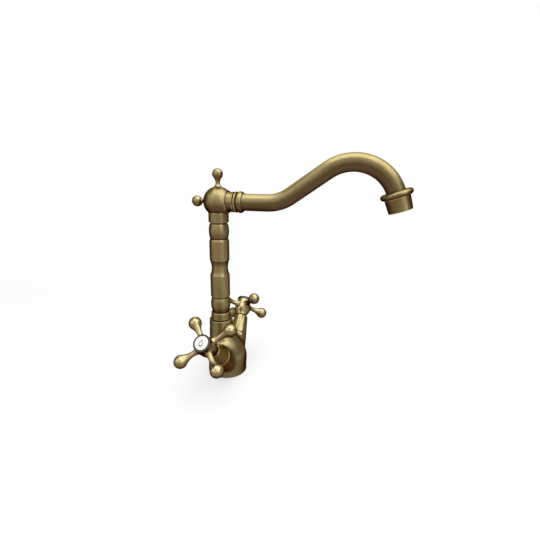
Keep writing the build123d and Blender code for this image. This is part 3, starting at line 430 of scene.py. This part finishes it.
def rubbed_edge_glint_and_groove_shade_group():
    """Proud edges painted bright, as a painted highlight and as bright from rubbing, and grooves and creases
    painted dark as shade.

    Turned pieces have them from their relief, and castings have their creases from the curvature.
    """
    group, entry, leave = new_group(
        "rubbed_edge_glint_and_groove_shade",
        [("Crease start", "NodeSocketFloat", 0.46), ("Crease full", "NodeSocketFloat", 0.38)],
        [("Rubbed edge glint", "NodeSocketFloat"), ("Hollow", "NodeSocketFloat")],
    )
    shape = node(group, "ShaderNodeNewGeometry")
    relief = node(group, "ShaderNodeAttribute", attribute_name="relief")
    # Painted highlight on proud edges, which also stands for their brightness from rubbing.
    link(group, step_of(group, relief.outputs["Fac"], 0.3, 1.0), leave.inputs["Rubbed edge glint"])
    # Painted shade in the creases of castings and the grooves of turned pieces.
    crease_shade = step_of(
        group, shape.outputs["Pointiness"], entry.outputs["Crease start"], entry.outputs["Crease full"]
    )
    groove_shade = step_of(group, relief.outputs["Fac"], -0.12, -0.8)
    link(group, sum_of(group, "MAXIMUM", crease_shade, groove_shade), leave.inputs["Hollow"])
    return group


PATINA_WITH_PAINTED_LIGHT = patina_with_painted_light_group()
BRUSHING = brushing_group()
RUBBED_EDGE_GLINT_AND_GROOVE_SHADE = rubbed_edge_glint_and_groove_shade_group()

# Painted light and shade of the brass, from the lit top of a piece to its shaded underside with its painted
# warm reflection
BRASS_LIGHT_AND_SHADE = {
    "Top": (0.50, 0.42, 0.205),
    "Side": (0.235, 0.18, 0.08),
    "Shaded underside": (0.085, 0.058, 0.026),
    "Red": (0.12, 0.056, 0.028),
}
SPOUT_LIGHT_AND_SHADE = {
    "Top": (0.50, 0.415, 0.20),
    "Side": (0.155, 0.115, 0.052),
    "Shaded underside": (0.075, 0.052, 0.024),
    "Red": (0.10, 0.052, 0.028),
}
CAST_LIGHT_AND_SHADE = {
    "Top": (0.46, 0.385, 0.19),
    "Side": (0.18, 0.135, 0.062),
    "Shaded underside": (0.17, 0.132, 0.074),
    "Red": (0.22, 0.125, 0.065),
}
HANDLE_LIGHT_AND_SHADE = {
    "Top": (0.62, 0.53, 0.28),
    "Side": (0.25, 0.19, 0.088),
    "Shaded underside": (0.105, 0.08, 0.042),
    "Red": (0.19, 0.085, 0.042),
}
COVER_LIGHT_AND_SHADE = {
    "Top": (0.50, 0.42, 0.21),
    "Side": (0.25, 0.19, 0.088),
    "Shaded underside": (0.22, 0.165, 0.095),
    "Red": (0.26, 0.155, 0.09),
}
RING_LIGHT_AND_SHADE = {
    "Top": (0.10, 0.10, 0.10),
    "Side": (0.075, 0.073, 0.070),
    "Shaded underside": (0.03, 0.03, 0.03),
    "Red": (0.05, 0.04, 0.035),
}
# Painted highlight on proud edges (also bright from rubbing), painted shade in grooves and creases, and
# painted shade where the brass is seen aslant
BRASS_RUBBED_GLINT = (0.46, 0.38, 0.19)
BRASS_GROOVE_SHADE = (0.05, 0.034, 0.017)
BRASS_ASLANT_SHADE = (0.5, 0.46, 0.42)
BRASS_EDGE_TINT = (0.24, 0.185, 0.13, 1.0)
# Weaker painted shade where the spout is seen aslant
SPOUT_ASLANT_SHADE = (0.8, 0.78, 0.75)


def plain_material(name):
    material = bpy.data.materials.new(name)
    material.use_nodes = True
    tree = material.node_tree
    tree.nodes.clear()
    output = node(tree, "ShaderNodeOutputMaterial")
    shader = node(tree, "ShaderNodeBsdfPrincipled")
    link(tree, shader.outputs[0], output.inputs["Surface"])
    return material, tree, shader


def antique_brass(
    name,
    roughness=0.34,
    grain=0.0,
    lines=3000.0,
    line_depth=0.000003,
    streaks=0.03,
    clouds=0.2,
    light_and_shade=BRASS_LIGHT_AND_SHADE,
    rub=1.0,
    edge=BRASS_ASLANT_SHADE,
):
    """Brushed antique brass under a thin clear lacquer, with painted light and shade in its colour.

    rub is how far proud edges are painted bright, as a painted highlight and as bright from rubbing, and edge
    multiplies the colour where it is seen aslant, as painted shade.
    grain is the anisotropy that the brushing gives; a piece with grain has a brush map, and its lines run
    across that map's first direction. Without grain the lines are replaced by a fine even haze.
    """
    material, tree, shader = plain_material(name)
    shader.inputs["Metallic"].default_value = 1.0
    shader.inputs["Specular Tint"].default_value = BRASS_EDGE_TINT
    # Painted light and shade by facing, over the cloudy patina.
    patina_with_painted_light = node(tree, "ShaderNodeGroup", node_tree=PATINA_WITH_PAINTED_LIGHT)
    for label, shade in light_and_shade.items():
        patina_with_painted_light.inputs[label].default_value = (*shade, 1)
    patina_with_painted_light.inputs["Clouds"].default_value = clouds
    edge_glint_and_groove_shade = node(tree, "ShaderNodeGroup", node_tree=RUBBED_EDGE_GLINT_AND_GROOVE_SHADE)
    # Painted highlight on proud edges, which also stands for rubbing.
    rub_glint_share = sum_of(tree, "MULTIPLY", edge_glint_and_groove_shade.outputs["Rubbed edge glint"], rub)
    colour = blend_colour(tree, rub_glint_share, patina_with_painted_light.outputs["Color"], BRASS_RUBBED_GLINT)
    # Painted shade in grooves and creases.
    colour = blend_colour(tree, edge_glint_and_groove_shade.outputs["Hollow"], colour, BRASS_GROOVE_SHADE)
    # Painted shade where the surface is seen aslant, darkening it towards the silhouettes.
    view = node(tree, "ShaderNodeLayerWeight")
    aslant_shade = step_of(tree, view.outputs["Facing"], 0.1, 0.6)
    colour = blend_colour(tree, aslant_shade, colour, edge, "MULTIPLY")
    brushing = node(tree, "ShaderNodeGroup", node_tree=BRUSHING)
    brushing.inputs["Lines per metre"].default_value = lines
    if grain:
        shader.inputs["Anisotropic"].default_value = grain
        way = node(tree, "ShaderNodeTangent", direction_type="UV_MAP", uv_map="brush")
        link(tree, way.outputs[0], shader.inputs["Tangent"])
        brush_map = node(tree, "ShaderNodeUVMap", uv_map="brush")
        along = node(tree, "ShaderNodeSeparateXYZ")
        link(tree, brush_map.outputs[0], along.inputs[0])
        link(tree, along.outputs["X"], brushing.inputs["Along"])
    else:
        brushing.inputs["Breaks per metre"].default_value = lines
    tone = sum_of(tree, "MULTIPLY_ADD", brushing.outputs["Tone"], streaks, 1.0 - streaks)
    link(tree, shaded(tree, colour, tone), shader.inputs["Base Color"])
    dull = sum_of(tree, "MULTIPLY_ADD", brushing.outputs["Dull"], 0.02, roughness)
    dull = sum_of(tree, "MULTIPLY_ADD", patina_with_painted_light.outputs["Cloud"], 0.04, dull)
    dull = sum_of(tree, "MULTIPLY_ADD", edge_glint_and_groove_shade.outputs["Hollow"], 0.2, dull)
    link(tree, dull, shader.inputs["Roughness"])
    bump = node(tree, "ShaderNodeBump")
    bump.inputs["Distance"].default_value = line_depth
    link(tree, brushing.outputs["Height"], bump.inputs["Height"])
    link(tree, bump.outputs[0], shader.inputs["Normal"])
    return material


def speckled_material(name, colour, roughness, metallic=0.0, grain=1200.0, depth=0.00002, spread=0.1):
    """Plain material with a fine grain in colour, gloss and surface."""
    material, tree, shader = plain_material(name)
    shader.inputs["Metallic"].default_value = metallic
    place = node(tree, "ShaderNodeTexCoord")
    noise = node(tree, "ShaderNodeTexNoise", noise_dimensions="3D")
    noise.inputs["Scale"].default_value = grain
    noise.inputs["Detail"].default_value = 3.0
    link(tree, place.outputs["Object"], noise.inputs["Vector"])
    darker = tuple(c * (1 - spread) for c in colour)
    link(tree, blend_colour(tree, noise.outputs["Fac"], colour, darker), shader.inputs["Base Color"])
    rough = sum_of(tree, "MULTIPLY_ADD", noise.outputs["Fac"], spread, roughness - spread / 2)
    link(tree, rough, shader.inputs["Roughness"])
    bump = node(tree, "ShaderNodeBump")
    bump.inputs["Distance"].default_value = depth
    link(tree, noise.outputs["Fac"], bump.inputs["Height"])
    link(tree, bump.outputs[0], shader.inputs["Normal"])
    return material


def valve_axes(side):
    """Direction of a valve's axis, its level line and its up-slope line."""
    tilt, sweep = radians(VALVE_TILT), radians(VALVE_SWEEP)
    axis = Vector((-sin(sweep) * cos(tilt), side * cos(sweep) * cos(tilt), sin(tilt)))
    level = Vector((0, 0, 1)).cross(axis).normalized()
    return axis, level, axis.cross(level)


column_brass = antique_brass("column_brass", roughness=0.36, grain=0.6, lines=1500.0)
spout_brass = antique_brass(
    "spout_brass",
    roughness=0.37,
    grain=0.3,
    line_depth=0.000001,
    streaks=0.015,
    light_and_shade=SPOUT_LIGHT_AND_SHADE,
    edge=SPOUT_ASLANT_SHADE,
)
knob_brass = antique_brass("knob_brass", roughness=0.32, grain=0.4, light_and_shade=HANDLE_LIGHT_AND_SHADE, rub=0.5)
cover_brass = antique_brass("cover_brass", roughness=0.26, grain=0.5, light_and_shade=COVER_LIGHT_AND_SHADE, rub=0.0)
body_brass = antique_brass("body_brass", roughness=0.3, lines=500.0, clouds=0.9, light_and_shade=CAST_LIGHT_AND_SHADE)
handle_brass = antique_brass("handle_brass", roughness=0.28, lines=500.0, streaks=0.1, light_and_shade=HANDLE_LIGHT_AND_SHADE)
ring_metal = antique_brass("ring_metal", roughness=0.3, grain=0.4, light_and_shade=RING_LIGHT_AND_SHADE, rub=0.3)
plain_brass = speckled_material("plain_brass", (0.72, 0.55, 0.25), 0.3, 1.0)
steel = speckled_material("fixing_steel", (0.6, 0.6, 0.6), 0.35, 1.0)
rubber = speckled_material("black_rubber", (0.03, 0.03, 0.03), 0.7, spread=0.2)
white_plastic = speckled_material("white_plastic", (0.8, 0.8, 0.78), 0.4, spread=0.05)
dark_plastic = speckled_material("dark_plastic", (0.09, 0.075, 0.05), 0.45, spread=0.1)
ceramic = speckled_material("disc_ceramic", (0.86, 0.84, 0.8), 0.25, spread=0.05)
print_ink = speckled_material("print_ink", (0.05, 0.05, 0.055), 0.4, spread=0.1)
enamel = speckled_material("index_enamel", (0.78, 0.77, 0.75), 0.18, grain=500.0, depth=0.000008, spread=0.03)

SLOT_MATERIALS = {
    "cast_brass": body_brass,
    "turned_brass": column_brass,
    "tube_brass": spout_brass,
    "plain_brass": plain_brass,
    "fixing_steel": steel,
    "black_rubber": rubber,
    "white_plastic": white_plastic,
    "dark_plastic": dark_plastic,
    "ceramic": ceramic,
    "index_enamel": enamel,
}
slot_of = {entry["node"]: entry["material_slot"] for entry in frame["record"]["subparts"]}
for name, piece in frame["nodes"].items():
    piece.data.materials.clear()
    piece.data.materials.append(SLOT_MATERIALS[slot_of[name]])

head_centre = Vector((COLUMN_X, 0, HEAD_Z))

# Body: the casting, eased where the branches grow out of it, under a turned collar; voxels are in metres
BODY_VOXEL = 0.0006
BODY_ROUNDS = 70
COLLAR_FOOT = 62.5
COLLAR_TOP = 71.5
COLLAR_R = 14.85
COLLAR_EDGE = 0.3
SOCKET_R = 10.6


def eased_casting(name, source, voxel, rounds, softness):
    """Finer copy of a cast part, smoothed by the share that softness gives for each point."""
    piece = bpy.data.objects.new(name, source.data.copy())
    bpy.context.scene.collection.objects.link(piece)
    regrown(piece, voxel)
    group = piece.vertex_groups.new(name="cast_blends")
    for vertex in piece.data.vertices:
        group.add([vertex.index], softness(vertex.co), "REPLACE")
    ease = piece.modifiers.new("cast_blends", "SMOOTH")
    ease.factor = 0.9
    ease.iterations = rounds
    ease.vertex_group = "cast_blends"
    return piece


def regrown(piece, voxel):
    """Replaces the mesh of a piece by one even skin."""
    grown = piece.modifiers.new("grown_together", "REMESH")
    grown.mode = "VOXEL"
    grown.voxel_size = voxel
    grown.use_smooth_shade = True
    bpy.context.view_layer.update()
    solid = bpy.data.meshes.new_from_object(piece.evaluated_get(bpy.context.evaluated_depsgraph_get()))
    piece.modifiers.clear()
    piece.data = solid


def body_softness(place):
    """Full on the walls of the casting, none at its foot, its collar and the faces of its branches."""
    height = place.z / MM
    share = min(1.0, max(0.0, (height - 1.5) / 4.0)) * min(1.0, max(0.0, (62.0 - height) / 8.0))
    for side in SIDES.values():
        axis, _, _ = valve_axes(side)
        offset = place / MM - VALVE_FOOT
        along = offset.dot(axis)
        if along > 20 and (offset - axis * along).length < 14:
            share *= min(1.0, max(0.0, (BRANCH_FACE - 1.5 - along) / 5.0))
    return share


body = eased_casting("cast_body", frame["nodes"]["tap_body"], BODY_VOXEL, BODY_ROUNDS, body_softness)
finish_piece(body, "tap", body_brass, "cast_brass", "tap_body")

column_axis = (Vector((COLUMN_X, 0, 0)), (0, 0, 1))
collar_outline = [
    (COLLAR_FOOT, SOCKET_R),
    (COLLAR_FOOT, COLLAR_R, 0.1),
    (COLLAR_TOP - COLLAR_EDGE, COLLAR_R, 0.3),
    (COLLAR_TOP, COLLAR_R - COLLAR_EDGE, 0.2),
    (COLLAR_TOP, SOCKET_R),
]
collar = turned("turned_collar", collar_outline, *column_axis, steps=160)
finish_piece(collar, "tap", column_brass, "cast_brass")

# Column
column_outline = [
    (51.0, 6.6),
    (51.0, 10.5, 0.4),
    (73.0, 10.5),
    (73.0, 12.45, 0.3),
    (80.4, 12.45, 0.6),
    (81.5, 11.9, 0.3),
    (81.9, 10.4, 0.2),
    (83.3, 10.4, 0.2),
    (83.7, 11.0, 0.3),
    *bow((83.7, 11.0), (92.2, 12.35), (100.6, 11.1)),
    (100.6, 11.1, 0.3),
    (101.0, 10.3, 0.2),
    (102.6, 10.3, 0.2),
    (102.6, 11.7, 0.2),
    (103.0, 12.1, 0.3),
    (130.2, 12.1, 0.35),
    *bow((130.2, 12.1), (139.8, 10.1), (149.4, 12.1)),
    (149.4, 12.1, 0.35),
    (172.0, 12.1, 0.5),
    *bow((172.0, 12.1), (174.0, 11.8), (175.2, 11.2), 5),
    (175.2, 11.2, 0.2),
    (175.4, 10.5, 0.3),
    *bow((175.6, 10.6), (184.8, 12.25), (193.7, 10.9)),
    (193.7, 10.9, 0.2),
    (194.0, 10.1, 0.2),
    (195.6, 10.1, 0.2),
    (195.6, 11.7, 0.2),
    (196.0, 12.1, 0.3),
    (COLUMN_TOP, 12.1),
    (COLUMN_TOP, 9.5),
    (210.9, 9.5),
    (210.9, 6.6),
]
column = turned("turned_column", column_outline, *column_axis, steps=160)
finish_piece(column, "spout", column_brass, "turned_brass", "swivel_column")

# Head ball, cut flat where it stands on the column
BALL_R = 17.6
FLANGE_ANGLE = 49.1

ball_foot = COLUMN_TOP - HEAD_Z
ball_foot_r = sqrt(BALL_R**2 - ball_foot**2)
ball_outline = [
    (ball_foot, 0.0),
    (ball_foot, ball_foot_r, 0.2),
    *arc_points(0, 0, BALL_R, pi - atan2(ball_foot_r, -ball_foot), 0.0, 48),
    (BALL_R, 0.0),
]
head = turned("spout_head", ball_outline, head_centre, (0, 0, 1), steps=160, closed=False)
finish_piece(head, "spout", column_brass, "turned_brass", "head_ball")


def swept_tube(bm, path, outer_r, inner_r, steps):
    """Adds a tube along a path of (point, direction) in the middle plane of the spout."""
    cross = Vector((0, 1, 0))
    walls = []
    for radius in (outer_r, inner_r):
        rings, marks = [], []
        length = 0.0
        before = path[0][0]
        for point, way in path:
            length += (point - before).length * MM
            before = point
            up = cross.cross(way)
            turns = [2 * pi * k / steps for k in range(steps)]
            spots = [point + (up * cos(t) + cross * sin(t)) * radius for t in turns]
            rings.append([bm.verts.new(spot * MM) for spot in spots])
            marks.append(length)
        skin(bm, rings, marks, steps)
        walls.append(rings)
    for end in (0, -1):
        skin(bm, [walls[0][end], walls[1][end]], [0, (outer_r - inner_r) * MM], steps)


def spout_path():
    """Middle line of the spout tube: points with directions, from the head ball to the outlet."""
    point, angle = head_centre + Vector((TUBE_START, 0, 0)), 0.0
    path = [(point.copy(), Vector((1, 0, 0)))]

    def straight(length, count):
        way = Vector((cos(angle), 0, sin(angle)))
        start = path[-1][0]
        for i in range(1, count + 1):
            path.append((start + way * length * i / count, way))

    def bend(radius, degrees, count):
        nonlocal angle
        turn = radians(degrees)
        start = path[-1][0]
        sign = 1 if turn > 0 else -1
        normal = Vector((-sin(angle), 0, cos(angle))) * sign
        centre = start + normal * radius
        for i in range(1, count + 1):
            here = angle + turn * i / count
            outward = Vector((sin(here), 0, -cos(here))) * sign
            path.append((centre + outward * radius, Vector((cos(here), 0, sin(here)))))
        angle += turn

    straight(TUBE_LEVEL_END - TUBE_START, 12)
    bend(RISE_BEND_R, RISE_ANGLE, 24)
    straight(RISE_LENGTH, 12)
    bend(ARCH_BEND_R, -ARCH_ANGLE, 72)
    outlet = path[-1]
    straight(TUBE_TAIL, 2)
    return path, outlet


path, (outlet_centre, outlet_way) = spout_path()
tube = mesh_object("spout_pipe", lambda bm: swept_tube(bm, path, TUBE_R, TUBE_BORE_R, 96))
finish_piece(tube, "spout", spout_brass, "tube_brass", "spout_tube")

# Ferrule
ball_face = BALL_R * cos(radians(FLANGE_ANGLE))
flange_r = BALL_R * sin(radians(FLANGE_ANGLE))
ferrule_outline = [
    (ball_face, 9.8),
    (ball_face, flange_r, 0.25),
    (ball_face + 1.5, flange_r, 0.4),
    (ball_face + 1.5, 11.9, 0.15),
    *bow((ball_face + 1.5, 11.9), ((ball_face + 22.2) / 2, 11.65), (20.7, 11.9), 6),
    (20.7, 11.9, 0.3),
    (20.7, 11.1, 0.15),
    (21.7, 11.1, 0.1),
    *bow((21.7, 11.1), (22.95, 12.15), (24.2, 11.1), 8),
    (24.2, 11.1, 0.1),
    (25.0, 11.1, 0.1),
    *bow((25.0, 11.1), (28.3, 12.5), (31.6, 10.7), 12),
    (31.6, 10.7, 0.3),
    (31.6, 9.8),
]
ferrule = turned("spout_collar", ferrule_outline, head_centre, (1, 0, 0))
finish_piece(ferrule, "spout", column_brass, "turned_brass", "spout_ferrule")


# Little balls on necks
def ball_on_neck(ball_r, ball_at, swell, neck_r, neck_at, foot_r, foot_at, foot_way=(0.9, -0.42), bead=0.0):
    """Half outline of a ball on a waisted neck; bead is the height of a fine ring where the ball begins."""
    angle = radians(swell)
    joint = (ball_at - ball_r * cos(angle), ball_r * sin(angle))
    outline = [(foot_at, 0.0), (foot_at, foot_r)]
    outline += flow((foot_at, foot_r), foot_way, (neck_at, neck_r), (1.0, 0.0))
    outline.append((neck_at, neck_r))
    outline += flow((neck_at, neck_r), (1.0, 0.0), joint, (sin(angle), cos(angle)), 16)
    if bead:
        outline += [(joint[0] - bead, joint[1]), (joint[0] - bead / 2, joint[1] + bead)]
    outline.append(joint)
    outline += arc_points(ball_at, 0.0, ball_r, pi - angle, 0.0, 27)
    outline.append((ball_at + ball_r, 0.0))
    return outline


ornament_seat = sqrt(BALL_R**2 - 4.4**2)
finial = turned(
    "top_finial",
    ball_on_neck(6.3, 31.4, 48.0, 2.6, 21.3, 4.4, ornament_seat, bead=0.4),
    head_centre,
    (0, 0, 1),
    steps=96,
    closed=False,
)
finish_piece(finial, "spout", knob_brass, "turned_brass", "finial")
knob = turned(
    "back_knob",
    ball_on_neck(6.5, 26.9, 48.0, 2.1, 19.3, 4.4, ornament_seat),
    head_centre,
    (-1, 0, 0),
    steps=96,
    closed=False,
)
finish_piece(knob, "spout", knob_brass, "turned_brass", "rear_knob")

# Outlet bead and aerator shell, lengths along the flow
outlet_outline = [
    (-3.2, 9.95),
    (-3.2, 13.4),
    *bow((-3.2, 13.4), (0.0, 16.6), (3.2, 13.4), 16),
    (3.2, 13.4),
    (3.2, 11.3),
    (10.0, 11.3),
    (10.0, 8.35),
    (3.0, 8.35),
    (3.0, 9.8),
]
outlet_bead = turned("outlet_ring", outlet_outline, outlet_centre, outlet_way)
shell_outline = [
    (3.2, 11.35),
    (3.2, 13.2, 0.2),
    (17.9, 12.38, 0.4),
    (17.9, 10.3, 0.25),
    (16.8, 10.3, 0.15),
    (16.8, 11.35),
]
shell = turned("outlet_shell", shell_outline, outlet_centre, outlet_way)
finish_piece(outlet_bead, "spout", column_brass, "turned_brass", "outlet_bead")
finish_piece(shell, "spout", column_brass, "turned_brass", "aerator_shell")


# Cross handles: hub and four arms grown together, then eased where they meet
HANDLE_VOXEL = 0.0004
HANDLE_ROUNDS = 60
HUB_TOP = 8.2

# Water drop on each index disc: inner side and height as shares and lengths of its line
DROP_R = 3.3
DROP_STRETCH = 1.25
DROP_INSIDE = 0.7
DROP_LIFT = 0.15
DROP_STEPS = 48


def make_handle(name, side):
    axis, level, slope = valve_axes(side)
    origin = VALVE_FOOT + axis * HUB_PLANE
    arm = ball_on_neck(7.7, 32.2, 58.0, 3.1, 17.0, 7.8, 4.0, foot_way=(0.7, -0.5))
    hub = eased(
        [
            (-15.9, 0.0),
            (-15.9, 7.9, 0.4),
            (-14.6, 7.9),
            *flow((-14.6, 7.9), (1, 0.1), (-6.0, 11.2), (1, 0)),
            (-6.0, 11.2),
            *flow((-6.0, 11.2), (1, 0), (6.0, 9.8), (1, -0.1), 10),
            (HUB_TOP, 9.5, 0.3),
            (HUB_TOP, 0.0),
        ],
        closed=False,
    )

    def build(bm):
        spin(bm, hub, origin, axis, 96, False)
        for i in range(4):
            turn = radians(HANDLE_TURNS[name] + 90 * i)
            spin(bm, [Vector(p) for p in arm], origin, level * cos(turn) + slope * sin(turn), 64, False)

    return mesh_object(f"{name}_cross_handle", build)


def root_share(offset, axis):
    """How soft a point of a handle is: most in the band round the hub where the arms grow out of it."""
    height = offset.dot(axis)
    reach = (offset - axis * height).length
    ring = max(0.0, 1.0 - max(0.0, abs(reach - 0.0115) - 0.0025) / 0.003)
    band = max(0.0, 1.0 - max(0.0, abs(height + 0.0005) - 0.0055) / 0.0015)
    return max(ring * band, 0.08)


def drop_outline(bm, centre, level, slope):
    """Raised outline of a water drop on an index disc."""
    across = level.cross(slope)
    loops = [[], [], [], []]
    sections = ((1.0, -DROP_LIFT), (1.0, DROP_LIFT), (DROP_INSIDE, DROP_LIFT), (DROP_INSIDE, -DROP_LIFT))
    for i in range(DROP_STEPS):
        turn = 2 * pi * (i + 0.5) / DROP_STEPS
        half_width = DROP_R * sin(turn) * sin(turn / 2) ** 1.5
        reach = level * half_width + slope * DROP_R * DROP_STRETCH * cos(turn)
        for loop, (spread, lift) in zip(loops, sections):
            loop.append(bm.verts.new((centre + reach * spread + across * lift) * MM))
    for i in range(DROP_STEPS):
        j = (i + 1) % DROP_STEPS
        for first, second in zip(loops, loops[1:] + loops[:1]):
            bm.faces.new((first[i], first[j], second[j], second[i]))


for name, side in SIDES.items():
    handle = make_handle(name, side)
    regrown(handle, HANDLE_VOXEL)
    axis, level, slope = valve_axes(side)
    middle = (VALVE_FOOT + axis * HUB_PLANE) * MM
    roots = handle.vertex_groups.new(name="roots")
    for vertex in handle.data.vertices:
        roots.add([vertex.index], root_share(vertex.co - middle, axis), "REPLACE")
    ease = handle.modifiers.new("cast_roots", "SMOOTH")
    ease.factor = 0.9
    ease.iterations = HANDLE_ROUNDS
    ease.vertex_group = "roots"
    finish_piece(handle, f"{name}_valve", handle_brass, "cast_brass", f"{name}_handle")

    bonnet_outline = [
        (43.4, 10.5),
        (43.4, 11.3, 0.1),
        (44.2, 11.3, 0.15),
        (44.2, 12.15, 0.3),
        (70.0, 9.6, 0.3),
        (70.3, 9.1, 0.1),
        (70.3, 6.45),
        (67.7, 6.45),
        (67.7, 8.2),
    ]
    bonnet = turned(f"{name}_valve_cover", bonnet_outline, VALVE_FOOT, axis)
    finish_piece(bonnet, "tap", cover_brass, "turned_brass", f"{name}_bonnet")
    top = HUB_PLANE + HUB_TOP
    rim_outline = [
        (top - 2.8, 0.0),
        (top - 2.8, 6.6),
        (top, 6.6),
        (top, 9.5, 0.2),
        (top + 0.5, 9.9, 0.3),
        (top + 3.0, 9.9, 0.6),
        (top + 3.7, 9.2, 0.4),
        (top + 3.7, 8.0, 0.15),
        (top + 1.8, 7.95),
        (top + 1.8, 0.0),
    ]
    rim = turned(f"{name}_button_ring", rim_outline, VALVE_FOOT, axis, closed=False)
    finish_piece(rim, f"{name}_valve", ring_metal, "turned_brass", f"{name}_index_rim")
    disc_outline = [
        (top + 1.8, 0.0),
        (top + 1.8, 7.85),
        (top + 3.5, 7.85, 0.4),
        *flow((top + 3.6, 7.45), (0.35, -0.94), (top + 4.1, 0.0), (0.0, -1.0), 10),
        (top + 4.1, 0.0),
    ]
    disc = turned(f"{name}_button_disc", disc_outline, VALVE_FOOT, axis, closed=False)
    finish_piece(disc, f"{name}_valve", enamel, "index_enamel", f"{name}_index_disc")
    disc_middle = VALVE_FOOT + axis * (top + 4.1)
    mark = mesh_object(f"{name}_drop_mark", lambda bm: drop_outline(bm, disc_middle, level, slope))
    finish_piece(mark, f"{name}_valve", print_ink, "dark_plastic")


# Floor, camera and light, in metres; first the level direction from the camera to the back of the scene
TO_THE_BACK = (-0.243, 0.970, 0.0)


def floor_material():
    """Pale matt floor, which grows into the white wall at the back."""
    material = bpy.data.materials.new("pale_floor")
    material.use_nodes = True
    tree = material.node_tree
    tree.nodes.clear()
    output = node(tree, "ShaderNodeOutputMaterial")
    matt = node(tree, "ShaderNodeBsdfDiffuse")
    lift = node(tree, "ShaderNodeEmission")
    rays = node(tree, "ShaderNodeLightPath")
    seen = sum_of(tree, "MAXIMUM", rays.outputs["Is Camera Ray"], rays.outputs["Is Glossy Ray"])
    seen = sum_of(tree, "MAXIMUM", seen, rays.outputs["Is Transmission Ray"])
    link(tree, seen, lift.inputs["Strength"])
    place = node(tree, "ShaderNodeTexCoord")
    back = node(tree, "ShaderNodeVectorMath", operation="DOT_PRODUCT")
    link(tree, place.outputs["Object"], back.inputs[0])
    back.inputs[1].default_value = TO_THE_BACK
    front = step_of(tree, back.outputs["Value"], -0.25, -0.7)
    link(tree, blend_colour(tree, front, (0.85, 0.85, 0.85), (0.4, 0.39, 0.38)), matt.inputs["Color"])
    near = sum_of(tree, "MULTIPLY", step_of(tree, back.outputs["Value"], -0.40, -0.12), 0.5)
    far = step_of(tree, back.outputs["Value"], -0.1, 0.5)
    both = node(tree, "ShaderNodeMixShader")
    link(tree, sum_of(tree, "MAXIMUM", near, far), both.inputs[0])
    link(tree, matt.outputs[0], both.inputs[1])
    link(tree, lift.outputs[0], both.inputs[2])
    link(tree, both.outputs[0], output.inputs["Surface"])
    return material


def floor_mesh(bm):
    bmesh.ops.create_grid(bm, x_segments=8, y_segments=8, size=30.0)


FLOOR_GAP = 0.0002
floor = mesh_object("floor", floor_mesh)
floor.location.z = -FLOOR_GAP
floor.data.materials.append(floor_material())

CAMERA_PLACE = Vector((147.83, -364.75, 240.65)) * MM
CAMERA_RIGHT = Vector((0.97002, 0.24304, 0.0))
CAMERA_FORWARD = Vector((-0.23494, 0.93771, -0.25594))
CAMERA_ROLL = radians(0.887)
camera_data = bpy.data.cameras.new("camera")
camera_data.lens = 21.627
camera_data.sensor_width = 36.0
camera_data.sensor_fit = "HORIZONTAL"
camera = bpy.data.objects.new("camera", camera_data)
bpy.context.scene.collection.objects.link(camera)
forward = CAMERA_FORWARD.normalized()
right = CAMERA_RIGHT.normalized()
upward = right.cross(forward)
rolled_right = right * cos(CAMERA_ROLL) + upward * sin(CAMERA_ROLL)
rolled_up = upward * cos(CAMERA_ROLL) - right * sin(CAMERA_ROLL)
turned_to = Matrix((rolled_right, rolled_up, -forward)).transposed().to_4x4()
camera.matrix_world = Matrix.Translation(CAMERA_PLACE) @ turned_to
bpy.context.scene.camera = camera


# Lamps: the boxes in front stand round the tap at one height, turned from the camera's side by an angle
FRONT_HEIGHT = 0.55
FRONT_BOX_HEIGHT = 0.9
FRONT_TARGET = (0, 0, 0.2)


def soft_box(name, place, target, width, height, radiance):
    """Rectangular lamp of even brightness, which the camera doesn't see."""
    data = bpy.data.lights.new(name, "AREA")
    data.shape = "RECTANGLE"
    data.size = width
    data.size_y = height
    data.energy = radiance * pi * width * height
    lamp = bpy.data.objects.new(name, data)
    bpy.context.scene.collection.objects.link(lamp)
    lamp.visible_camera = False
    lamp.location = place
    lamp.rotation_euler = (Vector(target) - Vector(place)).to_track_quat("-Z", "Y").to_euler()


soft_box("overhead", (0.52, 0.06, 1.2), (0.52, 0.0601, 0.0), 2.15, 1.47, 2.05)
for name, turn, distance, width, radiance in (
    ("front_left", -62.0, 0.95, 0.95, 1.2),
    ("front_middle", -8.0, 1.05, 1.1, 1.0),
    ("front_right", 40.0, 1.0, 0.7, 1.8),
):
    way = Matrix.Rotation(radians(turn), 3, "Z") @ -Vector(TO_THE_BACK)
    place = way * distance + Vector((0, 0, FRONT_HEIGHT))
    soft_box(name, place, FRONT_TARGET, width, FRONT_BOX_HEIGHT, radiance)


def studio_world():
    """Pale wall behind the tap, and a warm, darker room in front of it."""
    world = bpy.data.worlds.new("studio")
    bpy.context.scene.world = world
    world.use_nodes = True
    tree = world.node_tree
    tree.nodes.clear()
    output = node(tree, "ShaderNodeOutputWorld")
    light = node(tree, "ShaderNodeBackground")
    place = node(tree, "ShaderNodeTexCoord")
    facing = node(tree, "ShaderNodeVectorMath", operation="DOT_PRODUCT")
    link(tree, place.outputs["Generated"], facing.inputs[0])
    facing.inputs[1].default_value = TO_THE_BACK
    wall = step_of(tree, facing.outputs["Value"], 0.45, 0.70)
    link(tree, blend_colour(tree, wall, (0.27, 0.24, 0.215), (1.0, 1.0, 1.0)), light.inputs["Color"])
    link(tree, light.outputs[0], output.inputs["Surface"])


studio_world()
bpy.context.scene.view_settings.view_transform = "Standard"
